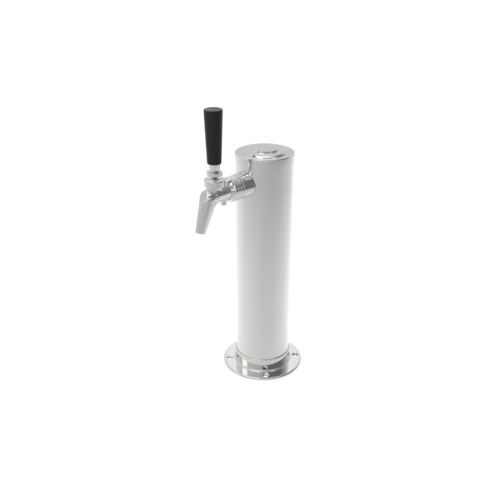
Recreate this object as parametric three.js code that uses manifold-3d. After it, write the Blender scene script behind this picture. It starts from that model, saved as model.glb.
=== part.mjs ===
import * as THREE from 'three';
import { mergeVertices } from 'three/addons/utils/BufferGeometryUtils.js';
import Module from 'manifold-3d';

const wasm = await Module();
wasm.setup();
const { Manifold, Mesh } = wasm;

// A single-tap draft beer tower: a polished column on a bolted flange, with a lever faucet.
// Lengths are in millimetres and angles in degrees. +Z is up, the origin is the centre of the
// flange's underside, and the faucet points along -Y.

// Fits shared by all pieces
const gap = 0.3;
const overrun = 3;
const edge = 0.5;

// Base flange with its collar. The land is the flat ring between the collar's foot and the rim.
const flangeLandWidth = 15.15;
const flangeThickness = 3;
const flangeLedgeWidth = 5.1;
const collarThickness = 1.3;
const collarHeight = 19;
const collarFootRadius = 2.3;
const boltPlaceShare = 0.455;
const boltCount = 4;
const boltTurn = 50;
const boltHoleRadius = 3.5;
const boltSinkRadius = 5.2;
const boltSinkDepth = 1.7;

// Column and its foam lining
const columnRadius = 38.1;
const columnThickness = 1.5;
const columnHeight = 302.3;
const liningThickness = 12;
const liningClearance = 8.6;

// Stepped cap, pressed into the column's top
const capLipWidth = 0.8;
const capSkirtHeight = 11.5;
const capRoofThickness = 2;
const capStepHeight = 2.6;
const capOuterStepWidth = 8.9;
const capInnerStepWidth = 11;
const spigotClearance = 1.5;
const spigotThickness = 1.8;

// Shank through the column's wall, and what clamps it there
const faucetDropHeight = 25;
const shankRadius = 11;
const shankBoreRadius = 4.6;
const shankInsideLength = 24.1;
const shankCollarLength = 13.9;
const shankCollarRearRadius = 18;
const shankCollarFrontRadius = 16.6;
const saddleRadius = 16;
const saddleThickness = 5.8;
const lockNutWidth = 30;
const lockNutThickness = 6;

// Coupling nut that holds the faucet on the shank
const shankThreadLength = 8.7;
const nutBodyRadius = 15.1;
const nutBeadHeight = 1.1;
const nutBeadCount = 3;
const nutNoseRadius = 14.6;
const nutNoseLength = 2.5;
const nutNoseThickness = 1.2;
const snapRingThickness = 1;
const snapRingDepth = 0.8;
const snapRingProudWidth = 1.6;
const snapRingSetback = 2.5;
const couplingWasherThickness = 1.5;
const couplingWasherRadius = 10.8;

// Tailpiece for the beer line, inside the column
const tailNutWidth = 28;
const tailNutGripLength = 5;
const tailNutShoulderThickness = 5.2;
const tailWasherThickness = 2.2;
const tailFlangeThickness = 2.5;
const tailFlangeRadius = 10.8;
const tailRadius = 5;
const tailBoreRadius = 3.6;
const tailLength = 22;
const barbHeight = 1;
const barbCount = 3;
const barbLength = 4.5;

// Faucet body: a straight barrel, an elbow with a round facet, and a spout
const bodyFlangeThickness = 2.9;
const bodyFlangeRadius = 12.9;
const barrelLength = 30.7;
const barrelRearRadius = 11.2;
const barrelFrontRadius = 12.5;
const barrelRoundSetback = 7.7;
const elbowBendRadius = 22;
const spoutLean = 19.6;
const spoutTopRadius = 10.3;
const spoutTipRadius = 6.5;
const spoutTipThickness = 1.3;
const spoutLength = 47.4;
const spoutBoreStartLength = 2.5;
const facetTilt = 34;
const facetOffset = 5.2;
const facetRadius = 6.7;
const bulbRadius = 10.4;
const bulbBackLength = 5.5;

// Valve chamber inside the barrel. Setbacks are measured back from the elbow's corner.
const chamberRadius = 7.5;
const chamberSetback = 3.7;
const seatInset = 6;
const seatThickness = 2.5;
const seatBoreRadius = 4.2;
const outletRadius = 4.5;
const outletDropHeight = 1;
const outletOverlap = 0.8;

// Small round plug under the barrel
const plugInset = 6.8;
const plugRadius = 3.8;
const plugSeatDepth = 1.8;
const plugLength = 8.6;
const plugRoundRadius = 1.2;

// Neck for the lever, and the bonnet screwed on it. Heights start at the faucet's axis.
const leverSetback = 9.7;
const neckRadius = 10.4;
const neckFootRadius = 12.2;
const neckFootHeight = 3.2;
const neckWaistHeight = 8.2;
const shoulderRadius = 13.25;
const shoulderHeight = 11.2;
const shoulderThickness = 1.6;
const threadRadius = 10.2;
const threadLength = 3.4;
const throatRadius = 7.2;
const socketRadius = 9.2;
const socketDepth = 6;
const bonnetHeight = 7;
const bonnetLipThickness = 1.6;
const bonnetHoleRadius = 6.9;

// Lever with its ball, and what it carries
const ballInset = 5.7;
const ballRadius = 8.6;
const fingerRadius = 2;
const fingerTipDepth = 1;
const stemRadius = 2.9;
const stemGripLength = 8.6;
const leverSeatHeight = 2.4;
const leverSealRadius = 0.8;
const ringRiseHeight = 4.7;
const ringThickness = 4.6;
const ringRadius = 9.8;
const ferruleBottomRadius = 6;
const ferruleTopRadius = 7.5;
const ferruleLength = 9.8;
const handleBottomRadius = 8.85;
const handleTopRadius = 11.5;
const handleLength = 66;
const handleRoundRadius = 1.6;
const handleDishDepth = 0.5;
const insertRadius = 4.6;
const insertLength = 12;

// Valve plunger, worked by the lever's finger in its slot
const plungerRadius = 2.4;
const forkRadius = 4.2;
const forkThickness = 2;
const slotRearLength = 3;
const slotFrontLength = 3.3;
const slotClearance = 0.6;
const guideClearance = 0.4;
const guideSetback = 1.4;
const guideThickness = 1.8;
const guideNotches = 3;
const guideNotchRadius = 2.6;
const guideNotchInset = 1.5;
const valveWasherRadius = 6;
const valveWasherThickness = 1.6;
const plungerNutRadius = 3.8;
const plungerNutThickness = 1.6;

// How finely the round forms are faceted
const fine = 60;
const medium = 36;
const coarse = 24;

// Finishes
const steel = { color: 0xd6d7d8, roughness: 0.2, metalness: 1 };
const chrome = { color: 0xdcdcdd, roughness: 0.12, metalness: 1 };
const brass = { color: 0xc2a25c, roughness: 0.35, metalness: 1 };
const stainless = { color: 0xb9babb, roughness: 0.35, metalness: 1 };
const blackPlastic = { color: 0x2b2b2c, roughness: 0.45, metalness: 0 };
const rubber = { color: 0x1d1d1e, roughness: 0.85, metalness: 0 };
const nylon = { color: 0xe6e3da, roughness: 0.6, metalness: 0 };
const foam = { color: 0x6f7276, roughness: 0.95, metalness: 0 };

const radians = THREE.MathUtils.degToRad;
const quarterTurn = Math.PI / 2;

// Heights and radii of the tower that follow from the sizes above
const flangeTop = flangeThickness;
const collarInner = columnRadius + gap;
const collarOuter = collarInner + collarThickness;
const collarTop = flangeTop + collarHeight;
const landStart = collarOuter + collarFootRadius;
const flangeRadius = landStart + flangeLandWidth;
const flangeOpeningRadius = columnRadius - flangeLedgeWidth;
const boltCircleRadius = landStart + boltPlaceShare * flangeLandWidth;
const columnInner = columnRadius - columnThickness;
const columnTop = flangeTop + gap + columnHeight;
const faucetHeight = columnTop - faucetDropHeight;
const liningTop = faucetHeight - saddleRadius - liningClearance;
const capBottom = columnTop + gap;
const capRim = capBottom + capSkirtHeight;
const spigotBottom = faucetHeight + saddleRadius + spigotClearance;

// Distances along the faucet line from the column's axis
const boreOnShank = shankRadius + gap;
const columnHoleRadius = shankRadius + 2 * gap;
const shankTail = columnRadius - shankInsideLength;
const saddleBack = columnInner - gap - saddleThickness;
const shankCollarEnd = columnRadius + shankCollarLength;
const nutStart = shankCollarEnd + gap;
const shankFront = nutStart + shankThreadLength;
const snapGroove = shankFront - snapRingSetback;
const bodyRear = shankFront + gap + couplingWasherThickness + gap;
const barrelStart = bodyRear + bodyFlangeThickness;
const nutNoseStart = barrelStart + gap;
const nutEnd = nutNoseStart + nutNoseLength;
const elbowDistance = barrelStart + barrelLength;
const barrelRoundStart = elbowDistance - barrelRoundSetback;
const leverDistance = elbowDistance - leverSetback;
const chamberEnd = elbowDistance - chamberSetback;
const outletEnd = elbowDistance + outletOverlap;
const seatDistance = barrelStart + seatInset;
const seatFront = seatDistance + seatThickness;
const plugDistance = barrelStart + plugInset;
const valveWasherRear = seatDistance - gap - valveWasherThickness;
const plungerRear = valveWasherRear - gap - plungerNutThickness;
const slotRear = leverDistance - slotRearLength;
const slotFront = leverDistance + slotFrontLength;
const forkRear = slotRear - forkThickness;
const forkFront = slotFront + forkThickness;
const guideRear = forkRear - guideSetback;

// Heights of the lever stack above the faucet's axis
const shoulderTop = shoulderHeight + shoulderThickness;
const threadTop = shoulderTop + threadLength;
const bonnetBottom = shoulderTop + gap;
const bonnetTop = bonnetBottom + bonnetHeight;
const ballHeight = bonnetTop - ballInset;
const socketFloor = ballHeight - socketDepth;
const ringBottom = bonnetTop + ringRiseHeight;
const ringTop = ringBottom + ringThickness;
const ferruleBottom = ringTop + gap;
const ferruleTop = ferruleBottom + ferruleLength;
const handleBottom = ferruleTop + gap;
const stemTop = handleBottom + stemGripLength;

// A closed round solid about Z from [radius, height] points, listed from the bottom up outside
function turned(points, segments) {
  const profile = points.map(([radius, height]) => new THREE.Vector2(radius, height));
  const geometry = new THREE.LatheGeometry(profile, segments);
  geometry.rotateX(quarterTurn);
  return geometry;
}

function rod(radius, bottom, top, segments) {
  return turned([[0, bottom], [radius, bottom], [radius, top], [0, top]], segments);
}

function tube(outer, inner, bottom, top, segments) {
  const start = [inner, bottom];
  return turned([start, [outer, bottom], [outer, top], [inner, top], start], segments);
}

// Points of a round arc in a profile, angles in degrees
function arc(centreRadius, centreHeight, radius, from, to, steps) {
  const points = [];
  for (let i = 0; i <= steps; i += 1) {
    const angle = radians(from + (to - from) * i / steps);
    points.push([centreRadius + radius * Math.cos(angle), centreHeight + radius * Math.sin(angle)]);
  }
  return points;
}

function hexagon(acrossFlats, bottom, top) {
  const shape = new THREE.Shape();
  const corner = acrossFlats / 2 / Math.cos(radians(30));
  for (let i = 0; i < 6; i += 1) {
    const angle = radians(60 * i);
    const place = [corner * Math.cos(angle), corner * Math.sin(angle)];
    if (i === 0) shape.moveTo(...place);
    else shape.lineTo(...place);
  }
  shape.closePath();
  const geometry = new THREE.ExtrudeGeometry(shape, { depth: top - bottom, bevelEnabled: false });
  geometry.translate(0, 0, bottom);
  return geometry;
}

function solidOf(geometry) {
  const bare = new THREE.BufferGeometry();
  bare.setAttribute('position', geometry.getAttribute('position'));
  bare.setIndex(geometry.index);
  const merged = mergeVertices(bare);
  const corners = merged.index.array;
  const triVerts = [];
  for (let i = 0; i < corners.length; i += 3) {
    const [a, b, c] = corners.slice(i, i + 3);
    if (a !== b && b !== c && c !== a) triVerts.push(a, b, c);
  }
  return new Manifold(new Mesh({
    numProp: 3,
    vertProperties: merged.getAttribute('position').array,
    triVerts: Uint32Array.from(triVerts),
  }));
}

function geometryOf(solid) {
  const mesh = solid.getMesh();
  const geometry = new THREE.BufferGeometry();
  const places = new Float32Array(mesh.vertProperties);
  geometry.setAttribute('position', new THREE.BufferAttribute(places, 3));
  geometry.setIndex(new THREE.BufferAttribute(new Uint32Array(mesh.triVerts), 1));
  geometry.computeVertexNormals();
  return geometry;
}

function cut(geometry, tools) {
  return geometryOf(tools.reduce((rest, tool) => rest.subtract(solidOf(tool)), solidOf(geometry)));
}

function join(geometries) {
  return geometryOf(geometries.map(solidOf).reduce((sum, next) => sum.add(next)));
}

// Turns a piece made about Z so that it stands on the faucet line's own +Y, which is up
function upright(geometry, distance) {
  geometry.rotateX(-quarterTurn);
  geometry.translate(0, 0, distance);
  return geometry;
}

function piece(name, geometry, finish) {
  const mesh = new THREE.Mesh(geometry, new THREE.MeshStandardMaterial(finish));
  mesh.name = name;
  return mesh;
}

function baseFlange() {
  const footHeight = flangeTop + collarFootRadius;
  const foot = arc(collarOuter + collarFootRadius, footHeight, collarFootRadius, 270, 180, 4);
  const start = [flangeOpeningRadius, 0];
  const body = turned([
    start,
    [flangeRadius, 0],
    [flangeRadius, flangeTop - edge],
    [flangeRadius - edge, flangeTop],
    ...foot,
    [collarOuter, collarTop - edge],
    [collarOuter - edge, collarTop],
    [collarInner, collarTop],
    [collarInner, flangeTop],
    [flangeOpeningRadius, flangeTop],
    start,
  ], fine);
  const holes = [];
  for (let i = 0; i < boltCount; i += 1) {
    const hole = turned([
      [0, -overrun],
      [boltHoleRadius, -overrun],
      [boltHoleRadius, flangeTop - boltSinkDepth],
      [boltSinkRadius, flangeTop],
      [boltSinkRadius, flangeTop + edge],
      [0, flangeTop + edge],
    ], coarse);
    hole.translate(boltCircleRadius, 0, 0);
    hole.rotateZ(radians(boltTurn + 360 * i / boltCount));
    holes.push(hole);
  }
  return cut(body, holes);
}

function columnTube() {
  const body = tube(columnRadius, columnInner, flangeTop + gap, columnTop, fine);
  const hole = rod(columnHoleRadius, 0, columnRadius + overrun, medium);
  hole.rotateX(quarterTurn);
  hole.translate(0, 0, faucetHeight);
  return cut(body, [hole]);
}

function foamLining() {
  const outer = columnInner - gap;
  return tube(outer, outer - liningThickness, flangeTop + gap, liningTop, medium);
}

function topCap() {
  const outer = columnRadius + capLipWidth;
  const middle = outer - capOuterStepWidth;
  const inner = middle - capInnerStepWidth;
  const middleTop = capRim + capStepHeight;
  const top = middleTop + capStepHeight;
  const spigotOuter = columnInner - gap;
  const spigotInner = spigotOuter - spigotThickness;
  return turned([
    [0, capRim - capRoofThickness],
    [spigotInner, capRim - capRoofThickness],
    [spigotInner, spigotBottom],
    [spigotOuter, spigotBottom],
    [spigotOuter, capBottom],
    [outer, capBottom],
    [outer, capRim - edge],
    [outer - edge, capRim],
    [middle, capRim],
    [middle, middleTop - edge],
    [middle - edge, middleTop],
    [inner, middleTop],
    [inner, top - edge],
    [inner - edge, top],
    [0, top],
  ], fine);
}

// The pieces on the faucet line are made about Z, with the tower's axis at zero
function columnShape(radius) {
  const shape = rod(radius, -columnRadius, columnRadius, fine);
  shape.rotateX(quarterTurn);
  return shape;
}

function shankCollar() {
  const body = turned([
    [boreOnShank, 0],
    [shankCollarRearRadius, 0],
    [shankCollarRearRadius, columnRadius],
    [shankCollarFrontRadius, shankCollarEnd - edge],
    [shankCollarFrontRadius - edge, shankCollarEnd],
    [boreOnShank, shankCollarEnd],
    [boreOnShank, 0],
  ], medium);
  return cut(body, [columnShape(columnRadius + gap)]);
}

function shank() {
  const grooveRadius = shankRadius - snapRingDepth;
  const grooveFront = snapGroove + gap + snapRingThickness + gap;
  return turned([
    [shankBoreRadius, shankTail],
    [shankRadius - edge, shankTail],
    [shankRadius, shankTail + edge],
    [shankRadius, snapGroove],
    [grooveRadius, snapGroove],
    [grooveRadius, grooveFront],
    [shankRadius, grooveFront],
    [shankRadius, shankFront],
    [shankBoreRadius, shankFront],
    [shankBoreRadius, shankTail],
  ], coarse);
}

function shankSaddle() {
  const body = solidOf(tube(saddleRadius, boreOnShank, saddleBack, columnRadius, medium));
  return geometryOf(body.intersect(solidOf(columnShape(columnInner - gap))));
}

function lockNut() {
  const front = saddleBack - gap;
  const rear = front - lockNutThickness;
  return cut(hexagon(lockNutWidth, rear, front), [
    rod(boreOnShank, rear - overrun, front + overrun, coarse),
  ]);
}

function snapRing() {
  const rear = snapGroove + gap;
  const inner = shankRadius - snapRingDepth + gap;
  return tube(shankRadius + snapRingProudWidth, inner, rear, rear + snapRingThickness, coarse);
}

// Shares of a bead's length at which its round back has a point
const beadShares = [0, 0.25, 0.5, 0.75];

function couplingNut() {
  const beadPitch = (nutNoseStart - nutStart) / nutBeadCount;
  const beads = [];
  for (let i = 0; i < nutBeadCount; i += 1) {
    const rear = nutStart + beadPitch * i;
    for (const share of beadShares) {
      const swell = nutBeadHeight * Math.sin(Math.PI * share);
      beads.push([nutBodyRadius + swell, rear + beadPitch * share]);
    }
  }
  const cavityRadius = bodyFlangeRadius + gap;
  const noseInner = barrelRearRadius + gap;
  const start = [boreOnShank, nutStart];
  return turned([
    start,
    ...beads,
    [nutNoseRadius, nutNoseStart],
    [noseInner + nutNoseThickness, nutEnd - edge],
    [noseInner + nutNoseThickness - edge, nutEnd],
    [noseInner, nutEnd],
    [noseInner, nutNoseStart],
    [cavityRadius, nutNoseStart],
    [cavityRadius, snapGroove],
    [boreOnShank, snapGroove],
    start,
  ], medium);
}

function couplingWasher() {
  const rear = shankFront + gap;
  const inner = shankBoreRadius + gap;
  return tube(couplingWasherRadius, inner, rear, rear + couplingWasherThickness, coarse);
}

function tailNut() {
  const front = shankTail + tailNutGripLength;
  const stack = gap + tailWasherThickness + gap + tailFlangeThickness + gap;
  const cavityRear = shankTail - stack;
  const rear = cavityRear - tailNutShoulderThickness;
  return cut(hexagon(tailNutWidth, rear, front), [
    rod(boreOnShank, cavityRear, front + overrun, coarse),
    rod(tailRadius + barbHeight + gap, rear - overrun, front, coarse),
  ]);
}

function tailWasher() {
  const front = shankTail - gap;
  return tube(shankRadius - edge, tailBoreRadius + edge, front - tailWasherThickness, front, coarse);
}

function tailpiece() {
  const flangeFront = shankTail - gap - tailWasherThickness - gap;
  const flangeRear = flangeFront - tailFlangeThickness;
  const tip = flangeRear - tailLength;
  const barbs = [];
  for (let i = 0; i < barbCount; i += 1) {
    const rear = tip + barbLength * i;
    barbs.push([tailRadius - barbHeight / 2, rear]);
    barbs.push([tailRadius + barbHeight / 2, rear + barbLength - edge]);
  }
  return turned([
    [tailBoreRadius, tip],
    ...barbs,
    [tailRadius, tip + barbLength * barbCount],
    [tailRadius, flangeRear],
    [tailFlangeRadius, flangeRear],
    [tailFlangeRadius, flangeFront],
    [tailBoreRadius, flangeFront],
    [tailBoreRadius, tip],
  ], coarse);
}

// Faucet body. The bent axis lies in the upright plane of the faucet line.
const bendAngle = 90 - spoutLean;
// Shares of the way from the facet's radius to the bulb's, and of the facet's offset
const bulbShares = [[1, 0], [0.84, 0.46], [0.51, 0.81], [0.3, 0.94], [0, 1]];
const bendSetback = elbowBendRadius * Math.tan(radians(bendAngle / 2));
const spoutAngle = radians(spoutLean);
const spoutDirection = new THREE.Vector3(0, -Math.cos(spoutAngle), Math.sin(spoutAngle));
const elbowCorner = new THREE.Vector3(0, 0, elbowDistance);

function alongSpout(geometry) {
  geometry.rotateX(radians(90 - spoutLean));
  geometry.translate(0, 0, elbowDistance);
  return geometry;
}

// The straight barrel: a flange, a slightly swelling tube and a half-round front end
function barrel() {
  const swellStart = nutEnd + gap;
  const swellSteps = 5;
  const swell = [];
  for (let i = 0; i < swellSteps; i += 1) {
    const share = Math.sin(quarterTurn * i / swellSteps);
    swell.push([
      THREE.MathUtils.lerp(barrelRearRadius, barrelFrontRadius, share),
      THREE.MathUtils.lerp(swellStart, barrelRoundStart, i / swellSteps),
    ]);
  }
  return turned([
    [0, bodyRear],
    [bodyFlangeRadius, bodyRear],
    [bodyFlangeRadius, barrelStart],
    [barrelRearRadius, barrelStart],
    ...swell,
    ...arc(0, barrelRoundStart, barrelFrontRadius, 0, 90, 6).slice(0, -1),
    [0, barrelRoundStart + barrelFrontRadius],
  ], medium);
}

// Stations of the spout, round the bend and down to the tip: centre, direction and radius
function spoutStations() {
  const bendStart = elbowDistance - bendSetback;
  const stations = [];
  const bendSteps = 8;
  for (let i = 0; i <= bendSteps; i += 1) {
    const share = i / bendSteps;
    const turn = radians(bendAngle * share);
    const direction = new THREE.Vector3(0, -Math.sin(turn), Math.cos(turn));
    const centre = new THREE.Vector3(0, 0, bendStart);
    centre.y -= elbowBendRadius * (1 - Math.cos(turn));
    centre.z += elbowBendRadius * Math.sin(turn);
    const radius = THREE.MathUtils.lerp(barrelFrontRadius - edge, spoutTopRadius, share);
    stations.push({ centre, direction, radius });
  }
  const tip = elbowCorner.clone().addScaledVector(spoutDirection, spoutLength);
  stations.push({ centre: tip, direction: spoutDirection, radius: spoutTipRadius });
  return stations;
}

// A closed skin over round stations, with flat ends
function lofted(stations, segments) {
  const places = [];
  const side = new THREE.Vector3(1, 0, 0);
  for (const { centre, direction, radius } of stations) {
    const up = new THREE.Vector3().crossVectors(direction, side);
    for (let i = 0; i < segments; i += 1) {
      const angle = 2 * Math.PI * i / segments;
      const place = centre.clone();
      place.addScaledVector(side, radius * Math.cos(angle));
      place.addScaledVector(up, radius * Math.sin(angle));
      places.push(place.x, place.y, place.z);
    }
  }
  const last = stations.length - 1;
  places.push(...stations[0].centre.toArray(), ...stations[last].centre.toArray());
  const firstHub = stations.length * segments;
  const corners = [];
  for (let i = 0; i < segments; i += 1) {
    const next = (i + 1) % segments;
    for (let ring = 0; ring < last; ring += 1) {
      const a = ring * segments + i;
      const b = ring * segments + next;
      corners.push(a, b, b + segments, a, b + segments, a + segments);
    }
    corners.push(firstHub, next, i);
    corners.push(firstHub + 1, last * segments + i, last * segments + next);
  }
  const geometry = new THREE.BufferGeometry();
  geometry.setAttribute('position', new THREE.Float32BufferAttribute(places, 3));
  geometry.setIndex(corners);
  return geometry;
}

function leverNeck() {
  const flare = arc(0, 0, 1, 90, 0, 4).map(([along, level]) => [
    THREE.MathUtils.lerp(neckRadius, neckFootRadius, level),
    THREE.MathUtils.lerp(neckFootHeight, neckWaistHeight, along),
  ]);
  const neck = turned([
    [0, 0],
    [neckRadius, 0],
    ...flare,
    [shoulderRadius, shoulderHeight],
    [shoulderRadius, shoulderTop],
    [threadRadius, shoulderTop],
    [threadRadius, threadTop],
    [0, threadTop],
  ], medium);
  return upright(neck, leverDistance);
}

function leverSocket() {
  const socket = turned([
    [0, 0],
    [throatRadius, 0],
    [throatRadius, socketFloor],
    [socketRadius, socketFloor],
    [socketRadius, threadTop + overrun],
    [0, threadTop + overrun],
  ], coarse);
  return upright(socket, leverDistance);
}

function onFacetAxis(geometry) {
  geometry.rotateX(-radians(facetTilt));
  geometry.translate(0, 0, elbowDistance);
  return geometry;
}

// The elbow's rounded front, which ends in a flat round facet
function elbowBulb() {
  const bulb = turned([
    [0, -bulbBackLength],
    [bulbRadius, -bulbBackLength],
    ...bulbShares.map(([radius, height]) => [
      THREE.MathUtils.lerp(facetRadius, bulbRadius, radius),
      facetOffset * height,
    ]),
    [0, facetOffset],
  ], medium);
  return onFacetAxis(bulb);
}

// Cuts the facet flat where the spout's bend stands above it
function facetCutter() {
  const reach = facetOffset + barrelFrontRadius;
  return onFacetAxis(rod(facetRadius + edge, facetOffset, reach, coarse));
}

function faucetBody() {
  const shaped = join([
    cut(join([barrel(), lofted(spoutStations(), medium), elbowBulb()]), [facetCutter()]),
    leverNeck(),
  ]);
  const outlet = rod(outletRadius, chamberEnd - overrun, outletEnd, coarse);
  outlet.translate(0, -outletDropHeight, 0);
  const spoutBoreRadius = spoutTipRadius - spoutTipThickness;
  const spoutBore = turned([
    [0, spoutBoreStartLength],
    [outletRadius, spoutBoreStartLength],
    [spoutBoreRadius, spoutLength],
    [spoutBoreRadius, spoutLength + overrun],
    [0, spoutLength + overrun],
  ], coarse);
  const seatTop = gap + plugSeatDepth - barrelRearRadius;
  const plugSeat = rod(plugRadius + gap, -2 * barrelFrontRadius, seatTop, coarse);
  return cut(shaped, [
    rod(chamberRadius, bodyRear - overrun, seatDistance, coarse),
    rod(seatBoreRadius, seatDistance - overrun, seatFront + overrun, coarse),
    rod(chamberRadius, seatFront, chamberEnd, coarse),
    outlet,
    alongSpout(spoutBore),
    leverSocket(),
    upright(plugSeat, plugDistance),
  ]);
}

function barrelPlug() {
  const top = plugSeatDepth - barrelRearRadius;
  const bottom = top - plugLength;
  const roundRadius = plugRadius - plugRoundRadius;
  const plug = turned([
    [0, bottom],
    ...arc(roundRadius, bottom + plugRoundRadius, plugRoundRadius, 270, 360, 3),
    [plugRadius, top],
    [0, top],
  ], coarse);
  return upright(plug, plugDistance);
}

function valvePlunger() {
  const guideFront = guideRear + guideThickness;
  const guideRadius = chamberRadius - guideClearance;
  const shaft = rod(plungerRadius, plungerRear, forkRear + edge, coarse);
  const guide = rod(guideRadius, guideRear, guideFront, coarse);
  const notches = [];
  for (let i = 0; i < guideNotches; i += 1) {
    const notch = rod(guideNotchRadius, guideRear - overrun, guideFront + overrun, coarse);
    notch.translate(guideRadius - guideNotchInset, 0, 0);
    notch.rotateZ(radians(30 + 360 * i / guideNotches));
    notches.push(notch);
  }
  const slotWidth = 2 * (fingerRadius + slotClearance);
  const slot = new THREE.BoxGeometry(slotWidth, 4 * forkRadius, slotFront - slotRear);
  slot.translate(0, 0, (slotRear + slotFront) / 2);
  const fork = cut(rod(forkRadius, forkRear, forkFront, coarse), [slot]);
  return join([shaft, cut(guide, notches), fork]);
}

function valveWasher() {
  const front = valveWasherRear + valveWasherThickness;
  return tube(valveWasherRadius, plungerRadius + gap, valveWasherRear, front, coarse);
}

function plungerNut() {
  const front = plungerRear + plungerNutThickness;
  return tube(plungerNutRadius, plungerRadius + gap, plungerRear, front, coarse);
}

// The pieces of the lever stack are made about Z, with the faucet's axis at zero
function leverSeat() {
  const bottom = socketFloor + gap;
  const top = bottom + leverSeatHeight;
  const ballClear = ballRadius + gap;
  const innerTop = Math.sqrt(ballClear ** 2 - (ballHeight - top) ** 2);
  const innerBottom = Math.sqrt(ballClear ** 2 - (ballHeight - bottom) ** 2);
  const start = [innerBottom, bottom];
  return turned([
    start,
    [socketRadius - gap, bottom],
    [socketRadius - gap, top],
    [innerTop, top],
    start,
  ], coarse);
}

function leverSeal() {
  const radius = ballRadius + leverSealRadius;
  const height = threadTop + gap + leverSealRadius;
  return turned(arc(radius, height, leverSealRadius, -180, 180, 8), coarse);
}

function bonnet() {
  const threadBore = threadRadius + gap;
  const ballClear = ballRadius + gap;
  const lipBottom = bonnetTop - bonnetLipThickness;
  const lipRadius = Math.sqrt(ballClear ** 2 - (lipBottom - ballHeight) ** 2);
  const start = [threadBore, bonnetBottom];
  return turned([
    start,
    [shoulderRadius, bonnetBottom],
    [shoulderRadius, bonnetTop - edge],
    [shoulderRadius - edge, bonnetTop],
    [bonnetHoleRadius, bonnetTop],
    [lipRadius, lipBottom],
    [threadBore, lipBottom],
    start,
  ], medium);
}

function lever() {
  const fromTop = Math.asin(stemRadius / ballRadius);
  const fromBottom = Math.asin(fingerRadius / ballRadius);
  const steps = 10;
  const ball = [];
  for (let i = 0; i <= steps; i += 1) {
    const angle = THREE.MathUtils.lerp(-quarterTurn + fromBottom, quarterTurn - fromTop, i / steps);
    ball.push([ballRadius * Math.cos(angle), ballHeight + ballRadius * Math.sin(angle)]);
  }
  return turned([
    [0, -fingerTipDepth],
    [fingerRadius - edge, -fingerTipDepth],
    [fingerRadius, edge - fingerTipDepth],
    ...ball,
    [stemRadius, stemTop],
    [0, stemTop],
  ], coarse);
}

function leverRing() {
  const start = [stemRadius + gap, ringBottom];
  return turned([
    start,
    [ringRadius - edge, ringBottom],
    [ringRadius, ringBottom + edge],
    [ringRadius, ringTop - edge],
    [ringRadius - edge, ringTop],
    [stemRadius + gap, ringTop],
    start,
  ], medium);
}

function handleFerrule() {
  const start = [stemRadius + gap, ferruleBottom];
  return turned([
    start,
    [ferruleBottomRadius, ferruleBottom],
    [ferruleTopRadius, ferruleTop - edge],
    [ferruleTopRadius, ferruleTop],
    [stemRadius + gap, ferruleTop],
    start,
  ], medium);
}

function tapHandle() {
  const top = handleBottom + handleLength;
  const pocketTop = handleBottom + insertLength + gap;
  const pocketRadius = insertRadius + gap;
  const roundCentre = handleTopRadius - handleRoundRadius;
  return turned([
    [pocketRadius, handleBottom],
    [handleBottomRadius - edge, handleBottom],
    [handleBottomRadius, handleBottom + edge],
    ...arc(roundCentre, top - handleRoundRadius, handleRoundRadius, 0, 90, 5),
    [roundCentre - handleRoundRadius, top],
    [0, top - handleDishDepth],
    [0, pocketTop],
    [pocketRadius, pocketTop],
    [pocketRadius, handleBottom],
  ], medium);
}

function handleInsert() {
  return tube(insertRadius, stemRadius + gap, handleBottom, handleBottom + insertLength, coarse);
}

// The faucet line: its +Z points from the tower's axis to the spout, and its +Y points up
const faucetLine = new THREE.Group();
faucetLine.rotation.x = quarterTurn;
faucetLine.position.z = faucetHeight;
faucetLine.add(
  piece('shank_collar', shankCollar(), chrome),
  piece('shank', shank(), stainless),
  piece('shank_saddle', shankSaddle(), nylon),
  piece('shank_lock_nut', lockNut(), brass),
  piece('coupling_nut', couplingNut(), chrome),
  piece('coupling_snap_ring', snapRing(), stainless),
  piece('coupling_washer', couplingWasher(), rubber),
  piece('tailpiece_nut', tailNut(), brass),
  piece('tailpiece_washer', tailWasher(), rubber),
  piece('tailpiece', tailpiece(), stainless),
  piece('faucet_body', faucetBody(), chrome),
  piece('barrel_plug', barrelPlug(), chrome),
  piece('valve_plunger', valvePlunger(), stainless),
  piece('valve_washer', valveWasher(), rubber),
  piece('plunger_nut', plungerNut(), brass),
);

// The lever stack stands on the faucet body, upright
const leverStack = new THREE.Group();
leverStack.position.set(0, -leverDistance, faucetHeight);
leverStack.add(
  piece('lever_seat', leverSeat(), nylon),
  piece('lever', lever(), stainless),
  piece('lever_seal', leverSeal(), rubber),
  piece('bonnet', bonnet(), chrome),
  piece('lever_ring', leverRing(), chrome),
  piece('handle_ferrule', handleFerrule(), chrome),
  piece('tap_handle', tapHandle(), blackPlastic),
  piece('handle_insert', handleInsert(), brass),
);

const tower = new THREE.Group();
tower.add(
  piece('base_flange', baseFlange(), steel),
  piece('column_tube', columnTube(), steel),
  piece('foam_lining', foamLining(), foam),
  piece('top_cap', topCap(), steel),
  faucetLine,
  leverStack,
);

export default tower;
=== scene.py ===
"""Builds the finished look of a single-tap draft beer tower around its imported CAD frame.

Lengths are in metres. +Z is up, the origin is the centre of the flange's underside, and the
faucet points along -Y. Distances on the faucet line count from the column's axis.
"""

import math
from functools import partial

import bmesh
import bpy
from mathutils import Matrix, Vector


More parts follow.
